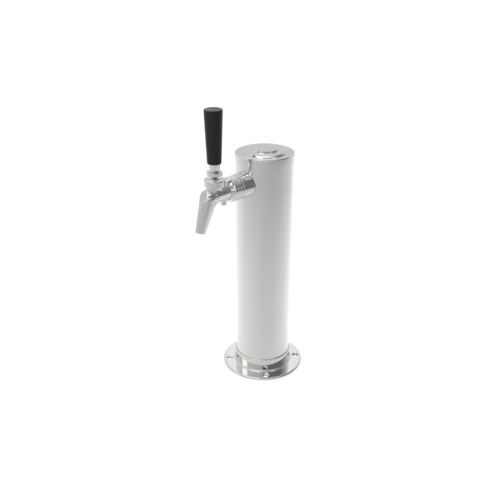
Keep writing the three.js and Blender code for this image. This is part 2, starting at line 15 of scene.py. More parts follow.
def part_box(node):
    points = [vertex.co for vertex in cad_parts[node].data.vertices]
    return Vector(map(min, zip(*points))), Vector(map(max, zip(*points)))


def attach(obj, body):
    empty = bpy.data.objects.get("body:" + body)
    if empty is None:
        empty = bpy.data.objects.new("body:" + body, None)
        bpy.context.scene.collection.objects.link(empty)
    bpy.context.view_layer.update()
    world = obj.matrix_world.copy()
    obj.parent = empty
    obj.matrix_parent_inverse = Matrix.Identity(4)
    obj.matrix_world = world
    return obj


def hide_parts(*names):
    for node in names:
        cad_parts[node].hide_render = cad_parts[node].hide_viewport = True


bl_info = {
    "name": "Draft Beer Tower",
    "version": (1, 0, 0),
    "blender": (4, 5, 0),
    "location": "3D Viewport > Sidebar > Beer Tower",
    "description": "Builds the pieces, finishes and studio of a single-tap draft beer tower",
    "category": "Add Mesh",
}

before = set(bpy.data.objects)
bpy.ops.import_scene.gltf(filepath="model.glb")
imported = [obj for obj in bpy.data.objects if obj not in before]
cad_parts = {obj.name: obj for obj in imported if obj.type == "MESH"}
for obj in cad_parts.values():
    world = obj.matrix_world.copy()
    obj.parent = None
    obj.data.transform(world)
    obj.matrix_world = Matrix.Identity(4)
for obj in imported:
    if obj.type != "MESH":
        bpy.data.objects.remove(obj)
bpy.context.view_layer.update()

MM = 0.001
GAP = 0.3 * MM  # between parts that slip into each other
HAIR = 0.05 * MM  # between faces that touch
EDGE = 0.3 * MM  # round on a turned outer edge
FINE_EDGE = 0.2 * MM  # round on a small or inner edge
OVERCUT = 3 * MM  # how far a cutter runs past what it cuts
WELD = 1e-6  # corners nearer than this become one
DOME = 0.998  # share of a radius that an edge's round takes to make a half-ball
FULL_TURN = math.tau
QUARTER_TURN = math.pi / 2
SMOOTH_LIMIT = math.radians(32)  # an edge that turns further than this stays sharp
WIDE_SPIN, SPIN, SMALL_SPIN = 144, 96, 64  # steps of a full turn, by a piece's size


def radius_of(node):
    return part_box(node)[1].x


def reach_of(node):
    """Where a node on the faucet line starts and ends, from the column's axis."""
    low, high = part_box(node)
    return -high.y, -low.y


def heights_of(node):
    low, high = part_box(node)
    return low.z, high.z


FAUCET_HEIGHT = sum(heights_of("shank")) / 2
LEVER_DISTANCE = sum(reach_of("bonnet")) / 2


def above_faucet(node):
    low, high = heights_of(node)
    return low - FAUCET_HEIGHT, high - FAUCET_HEIGHT


# ---------------------------------------------------------------- settings


def length(name, description, default):
    return bpy.props.FloatProperty(
        name=name, description=description, default=default, min=0.0,
        unit="LENGTH", subtype="DISTANCE", precision=5,
    )


def angle(name, description, degrees):
    return bpy.props.FloatProperty(
        name=name, description=description, default=math.radians(degrees),
        unit="ROTATION", subtype="ANGLE",
    )


def share(name, description, default):
    return bpy.props.FloatProperty(
        name=name, description=description, default=default, min=0.0, max=1.0, subtype="FACTOR",
    )


def colour(name, description, default):
    return bpy.props.FloatVectorProperty(
        name=name, description=description, default=default, size=3, min=0.0, max=1.0,
        subtype="COLOR",
    )


class TowerSizes(bpy.types.PropertyGroup):
    """Sizes of the base flange, the column and the cap."""

    column_radius: length("Column radius", "Outer radius of the column", radius_of("column_tube"))
    column_wall: length("Column wall", "Sheet thickness of the column", 1.5 * MM)
    flange_radius: length("Flange radius", "Outer radius of the flange", radius_of("base_flange"))
    flange_thickness: length("Flange thickness", "Thickness of the base flange", 3 * MM)
    flange_opening: length("Flange opening", "Radius of the opening for the beer line", 33 * MM)
    collar_wall: length("Collar wall", "Sheet thickness of the collar round the column", 1.3 * MM)
    foot_round: length("Foot round", "Fillet between the collar and the flange", 2.3 * MM)
    hole_radius: length("Hole radius", "Radius of a bolt hole", 3.5 * MM)
    sink_radius: length("Countersink radius", "Radius of a bolt hole's countersink", 5.2 * MM)
    sink_depth: length("Countersink depth", "Depth of a bolt hole's countersink", 1.7 * MM)
    hole_circle: length("Hole circle", "Radius of the circle of bolt holes", 48.893 * MM)
    hole_turn: angle("Hole turn", "Turn of the first bolt hole from +X", 50)
    cap_radius: length("Cap radius", "Outer radius of the cap", radius_of("top_cap"))
    cap_step: length("Cap step", "Height of each step on the cap", 2.6 * MM)
    cap_plate: length("Cap plate", "Thickness of the cap under its ledge", 2 * MM)
    spigot_wall: length("Spigot wall", "Thickness of the cap's spigot", 1.8 * MM)
    cap_middle_radius: length("Middle step radius", "Radius of the cap's middle step", 30 * MM)
    cap_inner_radius: length("Inner step radius", "Radius of the cap's top step", 19 * MM)
    rim_round: length("Rim round", "Round on the upper rim of the flange", 2.3 * MM)
    step_round: length("Step round", "Round on the pressed steps of the cap", 0.35 * MM)
    step_draft: length("Step draft", "How far a step's foot stands out from its top", 0.5 * MM)
    step_slope: angle("Step slope", "Outward slope of the ledges round the cap's middle", 4.5)
    edge_round: length("Edge round", "Round on the spigot; twice that on the collar", 0.5 * MM)
    lining_thickness: length("Lining thickness", "Thickness of the foam lining", 12 * MM)


class FaucetSizes(bpy.types.PropertyGroup):
    """Sizes of the shank, the coupling nut and the faucet body."""

    shank_radius: length("Shank radius", "Outer radius of the shank", radius_of("shank"))
    shank_bore: length("Shank bore", "Radius of the beer's way through the shank", 4.6 * MM)
    collar_radius: length("Collar radius", "Shank collar's radius at the nut", 16.6 * MM)
    bead_height: length("Bead height", "How far the coupling nut's beads stand out", 0.8 * MM)
    barrel_rear_radius: length("Barrel rear radius", "Barrel's radius at the nut", 11.2 * MM)
    barrel_front_radius: length("Barrel front radius", "Barrel's radius at the elbow", 11.6 * MM)
    bend_radius: length("Bend radius", "Radius of the bend from barrel to spout", 24 * MM)
    elbow_swell: length("Elbow swell", "How far the elbow stands out from the spout", 1.45 * MM)
    facet_tilt: angle("Facet tilt", "Upward tilt of the elbow's round facet", 34)
    facet_reach: length("Facet reach", "Distance of the facet from the elbow's centre", 7.9 * MM)
    spout_lean: angle("Spout lean", "How far the spout leans forward of plumb", 19.6)
    spout_top_radius: length("Spout top radius", "Spout's radius below the bend", 9.55 * MM)
    spout_tip_radius: length("Spout tip radius", "Spout's radius at its tip", 6.5 * MM)
    spout_length: length("Spout length", "Spout's length from the elbow's corner", 47.4 * MM)
    spout_wall: length("Spout wall", "Thickness of the spout at its tip", 1.3 * MM)
    neck_radius: length("Neck radius", "Radius of the neck under the bonnet", 10.8 * MM)
    cast_round: length("Cast round", "Size of the rounds left by casting", 0.4 * MM)


class LeverSizes(bpy.types.PropertyGroup):
    """Sizes of the bonnet, the lever and the tap handle."""

    bonnet_radius: length("Bonnet radius", "Outer radius of the bonnet", radius_of("bonnet"))
    bonnet_opening: length("Bonnet opening", "Radius of the opening for the ball", 6.95 * MM)
    ball_radius: length("Ball radius", "Radius of the lever's ball", 8.6 * MM)
    stem_radius: length("Stem radius", "Radius of the lever's stem", 2.9 * MM)
    finger_radius: length("Finger radius", "Radius of the finger that moves the valve", 2 * MM)
    ring_radius: length("Ring radius", "Radius of the ring on the stem", radius_of("lever_ring"))
    ferrule_bottom_radius: length("Ferrule bottom radius", "Radius at the ferrule's foot", 6 * MM)
    ferrule_top_radius: length("Ferrule top radius", "Radius at the ferrule's top", 7.5 * MM)
    handle_bottom_radius: length("Handle bottom radius", "Handle's radius at its foot", 8.85 * MM)
    handle_top_radius: length("Handle top radius", "Handle's radius", radius_of("tap_handle"))
    handle_round: length("Handle round", "Round on the tap handle's top edge", 1.6 * MM)
    handle_dish: length("Handle dish", "Depth of the dish in the handle's top", 0.5 * MM)


class FinishColours(bpy.types.PropertyGroup):
    """Colours and polish of the finishes."""

    steel: colour("Polished steel", "Polished stainless sheet of the tower", (0.86, 0.85, 0.838))
    steel_roughness: share("Steel roughness", "Roughness of the polished sheet", 0.055)
    chrome: colour("Chrome", "Bright chrome plate of the faucet", (0.87, 0.86, 0.848))
    chrome_roughness: share("Chrome roughness", "Roughness of the chrome plate", 0.045)
    stainless: colour("Stainless", "Turned stainless steel", (0.72, 0.73, 0.73))
    brass: colour("Brass", "Unplated brass", (0.76, 0.64, 0.36))
    plastic: colour("Black plastic", "Moulded tap handle", (0.008, 0.008, 0.0085))
    plastic_roughness: share("Plastic roughness", "Roughness of the tap handle", 0.3)
    rubber: colour("Rubber", "Washers and seals", (0.02, 0.02, 0.02))
    nylon: colour("Nylon", "Saddle and lever seat", (0.85, 0.83, 0.78))
    foam: colour("Foam", "Insulation inside the column", (0.16, 0.17, 0.18))


class StudioSettings(bpy.types.PropertyGroup):
    """Floor, light and camera of the studio."""

    floor: colour("Floor", "Colour of the pale floor", (0.9, 0.9, 0.9))
    daylight: bpy.props.FloatProperty(
        name="Daylight", description="Strength of the light from all sides", default=1.0, min=0.0,
    )
    camera_turn: angle("Camera turn", "Camera's turn round the tower from the faucet's side", 44.43)
    lens: bpy.props.FloatProperty(
        name="Lens", description="Focal length of the camera", default=48.095, min=1.0,
        unit="CAMERA",
    )


class BeerTowerSettings(bpy.types.PropertyGroup):
    """Everything that a user would change on the tower."""

    tower: bpy.props.PointerProperty(type=TowerSizes, name="Tower", description="Column and base")
    faucet: bpy.props.PointerProperty(type=FaucetSizes, name="Faucet", description="Faucet line")
    lever: bpy.props.PointerProperty(type=LeverSizes, name="Lever", description="Lever and handle")
    colours: bpy.props.PointerProperty(type=FinishColours, name="Finishes", description="Colours")
    studio: bpy.props.PointerProperty(type=StudioSettings, name="Studio", description="Stage")


# ---------------------------------------------------------------- shader maths


class Signal:
    """A node's output. Arithmetic on it adds Math nodes."""

    def __init__(self, paint, socket):
        self.paint = paint
        self.socket = socket

    def __add__(self, other):
        return self.paint.math("ADD", self, other)

    def __radd__(self, other):
        return self.paint.math("ADD", other, self)

    def __sub__(self, other):
        return self.paint.math("SUBTRACT", self, other)

    def __rsub__(self, other):
        return self.paint.math("SUBTRACT", other, self)

    def __mul__(self, other):
        return self.paint.math("MULTIPLY", self, other)

    def __rmul__(self, other):
        return self.paint.math("MULTIPLY", other, self)

    def __truediv__(self, other):
        return self.paint.math("DIVIDE", self, other)

    def __rtruediv__(self, other):
        return self.paint.math("DIVIDE", other, self)


class Paint:
    """A material under construction."""

    def __init__(self, name):
        self.material = bpy.data.materials.new(name)
        self.material.use_nodes = True
        self.tree = self.material.node_tree
        self.tree.nodes.clear()

    def node(self, kind, settings=None, inputs=None, output=0):
        """Adds a node, gives it its settings, then the values or links of its sockets."""
        node = self.tree.nodes.new(kind)
        for key, value in (settings or {}).items():
            if key == "stops":
                self.set_stops(node.color_ramp, value)
            else:
                setattr(node, key, value)
        for key, value in (inputs or {}).items():
            if isinstance(value, Signal):
                self.tree.links.new(value.socket, node.inputs[key])
            else:
                node.inputs[key].default_value = value
        return Signal(self, node.outputs[output]) if node.outputs else None

    @staticmethod
    def set_stops(ramp, stops):
        while len(ramp.elements) < len(stops):
            ramp.elements.new(1.0)
        for element, (position, grey) in zip(ramp.elements, stops):
            element.position = position
            element.color = (grey, grey, grey, 1.0)

    def math(self, operation, first, second=None):
        inputs = {0: first} if second is None else {0: first, 1: second}
        return self.node("ShaderNodeMath", {"operation": operation}, inputs)

    def place(self):
        return self.node("ShaderNodeTexCoord", output="Object")

    def parts(self, vector):
        node = self.node("ShaderNodeSeparateXYZ", None, {0: vector}).socket.node
        return [Signal(self, output) for output in node.outputs]

    def noise(self, scale, detail, roughness):
        """Noise over the piece's own place, with one scale or one for each axis."""
        place = self.place()
        if isinstance(scale, tuple):
            settings = {"operation": "MULTIPLY"}
            place = self.node("ShaderNodeVectorMath", settings, {0: place, 1: scale})
            scale = 1.0
        return self.node("ShaderNodeTexNoise", None, {
            "Vector": place, "Scale": scale, "Detail": detail, "Roughness": roughness,
        })

    def window(self, value, low, high):
        """A smooth rise from 0 at low to 1 at high."""
        return self.node("ShaderNodeMapRange", {"interpolation_type": "SMOOTHSTEP"}, {
            "Value": value, "From Min": low, "From Max": high,
        })

    def shades(self, factor, first, second):
        """A colour between two colours. A Mix node's colour sockets go by number."""
        return self.node("ShaderNodeMix", {"data_type": "RGBA"}, {
            0: factor, 6: (*first, 1.0), 7: (*second, 1.0),
        }, output=2)

    def bump(self, height, distance, strength=1.0, normal=None):
        inputs = {"Height": height, "Distance": distance, "Strength": strength}
        if normal is not None:
            inputs["Normal"] = normal
        return self.node("ShaderNodeBump", None, inputs)

    def finish(self, shader):
        self.node("ShaderNodeOutputMaterial", None, {"Surface": shader})
        return self.material

    def surface(self, colour, roughness, normal, others=None):
        inputs = {"Base Color": colour, "Roughness": roughness, "Normal": normal}
        inputs.update(others or {})
        return self.finish(self.node("ShaderNodeBsdfPrincipled", None, inputs))


METAL = {"Metallic": 1.0}


def tinted(rgb, factor):
    return tuple(min(1.0, value * factor) for value in rgb)


# ---------------------------------------------------------------- finishes

# How noise is stretched into lines round a piece that stands or lies.
UPRIGHT = (30, 30, 9000)
FORWARD = (30, 9000, 30)


def polish_lines(paint, lie):
    """Very fine lines round the piece's axis, as a polishing wheel leaves them."""
    return paint.noise(lie, 2.0, 0.6)


def tool_lines(paint, lie):
    """Coarser and sharper lines, as a turning tool leaves them."""
    return paint.noise(tuple(0.7 * scale for scale in lie), 3.0, 0.7)


def polished_sheet(paint, colours):
    """Mirror-polished sheet with wipe marks and faint polishing lines."""
    lines = polish_lines(paint, UPRIGHT)
    specks = paint.noise(900, 2.0, 0.5)
    smudge = paint.window(paint.noise((55, 55, 18), 4.0, 0.55), 0.48, 0.78)
    return paint.surface(
        paint.shades(smudge, colours.steel, tinted(colours.steel, 0.975)),
        colours.steel_roughness + smudge * 0.03 + lines * 0.025,
        paint.bump(lines * 0.6 + specks * 0.4, 0.0012 * MM), METAL,
    )


def chrome_plate(paint, colours, lie, cast=False):
    """Bright plate. Cast pieces keep a faint unevenness under it, turned ones their lines."""
    lines = polish_lines(paint, lie)
    smudge = paint.window(paint.noise(130, 4.0, 0.6), 0.5, 0.75)
    if cast:
        waves = paint.noise(200, 2.0, 0.4)
        normal = paint.bump(waves, 0.012 * MM, 0.5, paint.bump(lines, 0.001 * MM))
    else:
        normal = paint.bump(lines, 0.0015 * MM)
    return paint.surface(
        paint.shades(smudge, colours.chrome, tinted(colours.chrome, 0.97)),
        colours.chrome_roughness + smudge * 0.035 + lines * 0.02,
        normal, METAL,
    )


def turned_stainless(paint, colours, lie):
    """Turned steel with visible tool lines and a dull film in patches."""
    lines = tool_lines(paint, lie)
    film = paint.window(paint.noise(160, 4.0, 0.6), 0.42, 0.7)
    return paint.surface(
        paint.shades(film, colours.stainless, tinted(colours.stainless, 0.86)),
        0.12 + film * 0.08 + lines * 0.08,
        paint.bump(lines, 0.002 * MM), METAL,
    )


def unplated_brass(paint, colours):
    """Unplated brass, browned in patches, with tool lines."""
    lines = tool_lines(paint, FORWARD)
    tarnish = paint.window(paint.noise(190, 5.0, 0.62), 0.45, 0.72)
    browned = [value * factor for value, factor in zip(colours.brass, (0.62, 0.54, 0.42))]
    return paint.surface(
        paint.shades(tarnish, colours.brass, browned),
        0.22 + tarnish * 0.2 + lines * 0.08,
        paint.bump(lines, 0.008 * MM), METAL,
    )


def satin_plastic(paint, colours):
    """Moulded plastic with a fine satin grain, rubbed smoother in patches by hands, with a painted
    highlight on its top.
    """
    grain = paint.noise(2600, 2.0, 0.6)
    rubbed = paint.window(paint.noise((70, 70, 28), 3.0, 0.5), 0.45, 0.7)
    top = heights_of("tap_handle")[1]
    # Painted highlight: a band just under the handle's top is mixed towards white, standing in for
    # light on the top face.
    painted_top_highlight = paint.window(paint.parts(paint.place())[2], top - 1.1 * MM, top - 0.4 * MM) * 0.06
    return paint.surface(
        paint.shades(rubbed * 0.006 + painted_top_highlight, colours.plastic, (1.0, 1.0, 1.0)),
        colours.plastic_roughness - rubbed * 0.05 + grain * 0.06,
        paint.bump(grain, 0.01 * MM, 0.6), {"Specular IOR Level": 0.33},
    )


def washer_rubber(paint, colours):
    """Dull rubber with a bloom and a pitted skin."""
    pits = paint.noise(2200, 3.0, 0.7)
    bloom = paint.window(paint.noise(240, 4.0, 0.6), 0.45, 0.75)
    return paint.surface(
        paint.shades(bloom, colours.rubber, (0.05, 0.05, 0.05)),
        0.62 + pits * 0.25,
        paint.bump(pits, 0.03 * MM), {"Specular IOR Level": 0.35},
    )


def milky_nylon(paint, colours):
    """Milky nylon with faint flow marks."""
    flow = paint.noise((120, 40, 120), 4.0, 0.6)
    return paint.surface(
        paint.shades(flow, colours.nylon, tinted(colours.nylon, 0.88)),
        0.42 + flow * 0.15,
        paint.bump(flow, 0.04 * MM),
        {"Subsurface Weight": 0.15, "Subsurface Scale": 2 * MM},
    )


def closed_foam(paint, colours):
    """Closed-cell foam with its cells cut open at the surface."""
    inputs = {"Vector": paint.place(), "Scale": 700.0}
    cells = paint.node("ShaderNodeTexVoronoi", {"feature": "F1"}, inputs)
    patches = paint.noise(60, 4.0, 0.6)
    tone = paint.window(cells * 0.7 + patches * 0.5, 0.2, 0.8)
    return paint.surface(
        paint.shades(tone, tinted(colours.foam, 0.6), tinted(colours.foam, 1.25)),
        0.8 + patches * 0.15,
        paint.bump(cells, 0.4 * MM, 0.7),
    )


# Every finish with the record's material slot that it stands for.
FINISHES = {
    "polished_sheet": ("polished_steel", polished_sheet),
    "chrome_forward": ("chrome_plate", partial(chrome_plate, lie=FORWARD)),
    "chrome_upright": ("chrome_plate", partial(chrome_plate, lie=UPRIGHT)),
    "chrome_cast": ("chrome_plate", partial(chrome_plate, lie=FORWARD, cast=True)),
    "stainless_forward": ("stainless", partial(turned_stainless, lie=FORWARD)),
    "stainless_upright": ("stainless", partial(turned_stainless, lie=UPRIGHT)),
    "unplated_brass": ("plain_brass", unplated_brass),
    "satin_plastic": ("black_plastic", satin_plastic),
    "washer_rubber": ("black_rubber", washer_rubber),
    "milky_nylon": ("nylon", milky_nylon),
    "closed_foam": ("foam", closed_foam),
}


def finish(name, settings):
    """The material of a finish, made when its first piece asks for it."""
    made = bpy.data.materials.get(name)
    return made or FINISHES[name][1](Paint(name), settings.colours)


# ---------------------------------------------------------------- making shapes


def on_faucet_line(distance=0.0, drop=0.0, lean=0.0):
    """Stands a piece made about Z on the faucet line; lean turns it down from level."""
    foot = Matrix.Translation((0, -distance, FAUCET_HEIGHT - drop))
    return foot @ Matrix.Rotation(QUARTER_TURN + lean, 4, "X")


def upright_at(distance):
    return Matrix.Translation((0, -distance, FAUCET_HEIGHT))


FAUCET_LINE = on_faucet_line()
LEVER_AXIS = upright_at(LEVER_DISTANCE)


def wire(corners, closed):
    """A profile in the XZ plane from (radius, height, round) corners, its rounds cut in."""
    form = bmesh.new()
    verts = [form.verts.new((corner[0], 0, corner[1])) for corner in corners]
    pairs = list(zip(verts, verts[1:]))
    if closed:
        pairs.append((verts[-1], verts[0]))
    for first, second in pairs:
        form.edges.new((first, second))
    for index, corner in enumerate(corners):
        size = corner[2] if len(corner) > 2 else 0.0
        if size <= 0:
            continue
        here = Vector(corner[:2])
        back = (Vector(corners[index - 1][:2]) - here).normalized()
        ahead = (Vector(corners[(index + 1) % len(corners)][:2]) - here).normalized()
        slide = size / math.tan(back.angle(ahead) / 2)
        small = size < 1.2 * MM
        bmesh.ops.bevel(
            form, geom=[verts[index]], offset=slide, offset_type="OFFSET",
            segments=4 if small else 12, profile=0.5, affect="VERTICES", material=-1,
        )
    return form


def spin_up(form, steps):
    bmesh.ops.spin(
        form, geom=form.verts[:] + form.edges[:], cent=(0, 0, 0), axis=(0, 0, 1), dvec=(0, 0, 0),
        angle=FULL_TURN, steps=steps, use_merge=True, use_duplicate=False,
    )


def shaped(name, form, place=None):
    """Closes a form's seams, turns its faces outwards and makes it an object."""
    bmesh.ops.remove_doubles(form, verts=form.verts, dist=WELD)
    bmesh.ops.recalc_face_normals(form, faces=form.faces)
    if place is not None:
        bmesh.ops.transform(form, matrix=place, verts=form.verts)
    mesh = bpy.data.meshes.new(name)
    form.to_mesh(mesh)
    form.free()
    made = bpy.data.objects.new(name, mesh)
    bpy.context.scene.collection.objects.link(made)
    return made


def turned(name, corners, place=None, steps=SPIN):
    """A round piece spun about Z from its corners, then set in place."""
    closed = corners[0][0] > 0 or corners[-1][0] > 0
    form = wire(corners, closed)
    spin_up(form, steps)
    return shaped(name, form, place)


def cutter(corners, place=None, steps=SMALL_SPIN):
    return turned("tool", corners, place, steps)


def rod(radius, start, end, place=None, steps=SMALL_SPIN):
    return cutter([(0, start), (radius, start), (radius, end), (0, end)], place, steps)


def tube(name, radii, span, place=None, rounds=(FINE_EDGE, EDGE), steps=SPIN):
    """A turned tube, with the rounds of its inner and its outer edges."""
    (inner, outer), (low, high), (inside, outside) = radii, span, rounds
    return turned(name, [
        (inner, low, inside), (outer, low, outside),
        (outer, high, outside), (inner, high, inside),
    ], place, steps)


def settled(made):
    """Makes the modifiers of a piece part of its mesh."""
    depsgraph = bpy.context.evaluated_depsgraph_get()
    mesh = bpy.data.meshes.new_from_object(made.evaluated_get(depsgraph))
    made.modifiers.clear()
    spare = made.data
    made.data = mesh
    bpy.data.meshes.remove(spare)


def combined(made, tools, operation):
    """Joins other pieces to this one, or cuts them from it. The others are used up."""
    for tool in tools:
        step = made.modifiers.new(operation.title(), "BOOLEAN")
        step.operation = operation
        step.solver = "EXACT"
        step.object = tool
    settled(made)
    for tool in tools:
        bpy.data.meshes.remove(tool.data)


def cut(made, *tools):
    combined(made, tools, "DIFFERENCE")


def joined(made, *tools):
    combined(made, tools, "UNION")


def kept_inside(made, *tools):
    combined(made, tools, "INTERSECT")


def cross_cut(made, *heights):
    """Adds edge loops round an upright piece, so that a hole disturbs only what is near it."""
    form = bmesh.new()
    form.from_mesh(made.data)
    for height in heights:
        bmesh.ops.bisect_plane(
            form, geom=form.verts[:] + form.edges[:] + form.faces[:], dist=WELD,
            plane_co=(0, 0, height), plane_no=(0, 0, 1),
        )
    form.to_mesh(made.data)
    form.free()


def hexagon_nut(name, across_flats, span, bores):
    """A hexagonal nut on the faucet line with chamfered corners."""
    start, end = span
    flat = across_flats / 2
    corner = flat / math.cos(math.radians(30))
    blank = bmesh.new()
    bmesh.ops.create_circle(
        blank, cap_ends=True, segments=6, radius=corner,
        matrix=Matrix.Translation((0, 0, start)) @ Matrix.Rotation(math.radians(30), 4, "Z"),
    )
    raised = bmesh.ops.extrude_face_region(blank, geom=blank.faces[:])
    lifted = [item for item in raised["geom"] if isinstance(item, bmesh.types.BMVert)]
    bmesh.ops.translate(blank, vec=(0, 0, end - start), verts=lifted)
    bmesh.ops.recalc_face_normals(blank, faces=blank.faces)
    bmesh.ops.bevel(
        blank, geom=blank.edges[:], offset=EDGE, offset_type="OFFSET", segments=3,
        profile=0.5, affect="EDGES", material=-1,
    )
    nut = shaped(name, blank)
    chamfer = 2 * MM
    face, past = flat - 0.2 * MM, corner + 0.2 * MM
    kept_inside(nut, cutter([
        (0, start), (face, start), (past, start + chamfer),
        (past, end - chamfer), (face, end), (0, end),
    ], steps=SPIN))
    nut.data.transform(FAUCET_LINE)
    cut(nut, *bores)
    return nut


def dressed(made, finish_name, settings, body, node, even=True):
    """Gives a finished piece its shading and material and sets it on its body."""
    made.data.shade_smooth()
    made.data.set_sharp_from_angle(angle=SMOOTH_LIMIT)
    if even:
        step = made.modifiers.new("Even shading", "WEIGHTED_NORMAL")
        step.keep_sharp = True
        step.weight = 60
    made.data.materials.clear()
    made.data.materials.append(finish(finish_name, settings))
    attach(made, body)
    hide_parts(node)


# ---------------------------------------------------------------- tower pieces


def make_base(settings):
    """The pressed flange with its collar and four countersunk bolt holes."""
    sizes = settings.tower
    top = sizes.flange_thickness
    slip = GAP / 2
    inner = sizes.column_radius + slip
    outer = inner + sizes.collar_wall
    collar_top = heights_of("base_flange")[1]
    base = turned("base_flange_polished", [
        (sizes.flange_opening, 0, EDGE),
        (sizes.flange_radius, 0, EDGE),
        (sizes.flange_radius, top, sizes.rim_round),
        (outer, top, sizes.foot_round),
        (outer, collar_top, 2 * sizes.edge_round),
        (inner, collar_top, slip),
        (inner, top),
        (sizes.flange_opening, top, EDGE),
    ], steps=WIDE_SPIN)
    slope = (sizes.sink_radius - sizes.hole_radius) / sizes.sink_depth
    above = MM
    holes = []
    for index in range(4):
        turn = Matrix.Rotation(sizes.hole_turn + QUARTER_TURN * index, 4, "Z")
        holes.append(cutter([
            (0, -OVERCUT),
            (sizes.hole_radius, -OVERCUT),
            (sizes.hole_radius, top - sizes.sink_depth, FINE_EDGE),
            (sizes.sink_radius + above * slope, top + above),
            (0, top + above),
        ], turn @ Matrix.Translation((sizes.hole_circle, 0, 0)), 48))
    cut(base, *holes)
    dressed(base, "polished_sheet", settings, "tower", "base_flange")


def make_column(settings):
    """The column's polished tube, with the hole for the shank, and its foam lining."""
    sizes = settings.tower
    inner = sizes.column_radius - sizes.column_wall
    column = tube(
        "column_polished", (inner, sizes.column_radius), heights_of("column_tube"), steps=WIDE_SPIN,
    )
    hole = settings.faucet.shank_radius + 2 * GAP
    margin = 14 * MM
    cross_cut(column, FAUCET_HEIGHT - margin, FAUCET_HEIGHT + margin)
    cut(column, rod(hole, 0, sizes.column_radius + OVERCUT, FAUCET_LINE))
    dressed(column, "polished_sheet", settings, "tower", "column_tube")

    outer = inner - GAP
    lining = tube(
        "foam_lining_cut", (outer - sizes.lining_thickness, outer), heights_of("foam_lining"),
        rounds=(0.8 * MM, 0.8 * MM),
    )
    dressed(lining, "closed_foam", settings, "tower", "foam_lining")


def make_cap(settings):
    """The stepped cap with the spigot that fits in the column."""
    sizes = settings.tower
    spigot_low, top = heights_of("top_cap")
    middle_top = top - sizes.cap_step
    rim = middle_top - sizes.cap_step
    skirt = heights_of("column_tube")[1] + HAIR
    spigot = sizes.column_radius - sizes.column_wall - GAP
    hollow = spigot - sizes.spigot_wall
    underside = rim - sizes.cap_plate
    outer, middle, inner = sizes.cap_radius, sizes.cap_middle_radius, sizes.cap_inner_radius
    slope = math.tan(sizes.step_slope)
    draft, step_round = sizes.step_draft, sizes.step_round
    cap = turned("top_cap_polished", [
        (0, underside),
        (hollow, underside, MM),
        (hollow, spigot_low, EDGE),
        (spigot, spigot_low, sizes.edge_round),
        (spigot, skirt),
        (outer, skirt, HAIR),
        (outer, rim, 1.5 * MM),
        (middle + draft, rim + (outer - middle) * slope, step_round / 2),
        (middle, middle_top, step_round),
        (inner + draft, middle_top + (middle - inner) * slope, step_round / 2),
        (inner, top, step_round),
        (0, top),
    ], steps=WIDE_SPIN)
    dressed(cap, "polished_sheet", settings, "cap", "top_cap")


# ---------------------------------------------------------------- faucet line


def column_core(radius):
    """A length of the column's own shape, to fit the shank's parts to its wall."""
    reach = 80 * MM
    return rod(radius, -reach, reach, upright_at(0), WIDE_SPIN)


def make_shank(settings):
    """The shank through the column's wall, its collar outside and what clamps it inside."""
    sizes = settings.faucet
    column = settings.tower.column_radius
    bore = sizes.shank_radius + GAP
    rear_radius = radius_of("shank_collar")
    end = reach_of("shank_collar")[1]
    collar = turned("shank_collar_chromed", [
        (bore, 0),
        (rear_radius, 0),
        (rear_radius, column, 6 * MM),
        (sizes.collar_radius, end, 0.6 * MM),
        (bore, end, EDGE),
    ], FAUCET_LINE)
    cut(collar, column_core(column + GAP))
    dressed(collar, "chrome_forward", settings, "tower", "shank_collar")

    tail, front = reach_of("shank")
    groove = reach_of("coupling_snap_ring")[0] - GAP
    groove_end = groove + 1.6 * MM
    groove_radius = sizes.shank_radius - 0.8 * MM
    shank = turned("shank_turned", [
        (sizes.shank_bore, tail, EDGE),
        (sizes.shank_radius, tail, 0.7 * MM),
        (sizes.shank_radius, groove),
        (groove_radius, groove),
        (groove_radius, groove_end),
        (sizes.shank_radius, groove_end),
        (sizes.shank_radius, front, EDGE),
        (sizes.shank_bore, front, EDGE),
    ], FAUCET_LINE)
    dressed(shank, "stainless_forward", settings, "tower", "shank")

    back = reach_of("shank_saddle")[0]
    outer = radius_of("shank_saddle")
    saddle = turned("shank_saddle_moulded", [
        (bore, back, EDGE), (outer, back, 0.8 * MM), (outer, column), (bore, column),
    ], FAUCET_LINE)
    kept_inside(saddle, column_core(column - settings.tower.column_wall - GAP))
    dressed(saddle, "milky_nylon", settings, "tower", "shank_saddle")

    rear, front = reach_of("shank_lock_nut")
    bores = [rod(bore, rear - OVERCUT, front + OVERCUT, FAUCET_LINE)]
    nut = hexagon_nut("shank_lock_nut_turned", 30 * MM, (rear, front), bores)
    dressed(nut, "unplated_brass", settings, "tower", "shank_lock_nut")

    node = "coupling_snap_ring"
    radii = groove_radius + GAP, radius_of(node)
    rounds = FINE_EDGE, FINE_EDGE
    ring = tube("coupling_snap_ring_turned", radii, reach_of(node), FAUCET_LINE, rounds)
    dressed(ring, "stainless_forward", settings, "tower", node)


def make_tailpiece(settings):
    """The barbed tailpiece for the beer line, and its nut."""
    tip, front = reach_of("tailpiece")
    bore, stem, barb, flange = 3.6 * MM, 5 * MM, 5.5 * MM, radius_of("tailpiece")
    flange_rear = front - 2.5 * MM
    pitch = 4.5 * MM
    corners = [(bore, tip, FINE_EDGE)]
    for index in range(3):
        rear = tip + pitch * index
        corners.append((barb - MM, rear, FINE_EDGE))
        corners.append((barb, rear + 4 * MM, 0.15 * MM))
    corners += [
        (stem, tip + 3 * pitch),
        (stem, flange_rear, 0.4 * MM),
        (flange, flange_rear, EDGE),
        (flange, front, EDGE),
        (bore, front, EDGE),
    ]
    tail = turned("tailpiece_turned", corners, FAUCET_LINE)
    dressed(tail, "stainless_forward", settings, "tower", "tailpiece")

    rear, end = reach_of("tailpiece_nut")
    cavity = rear + 5.2 * MM
    bores = [
        rod(settings.faucet.shank_radius + GAP, cavity, end + OVERCUT, FAUCET_LINE),
        rod(6.3 * MM, rear - OVERCUT, end, FAUCET_LINE),
    ]
    nut = hexagon_nut("tailpiece_nut_turned", 28 * MM, (rear, end), bores)
    dressed(nut, "unplated_brass", settings, "tower", "tailpiece_nut")


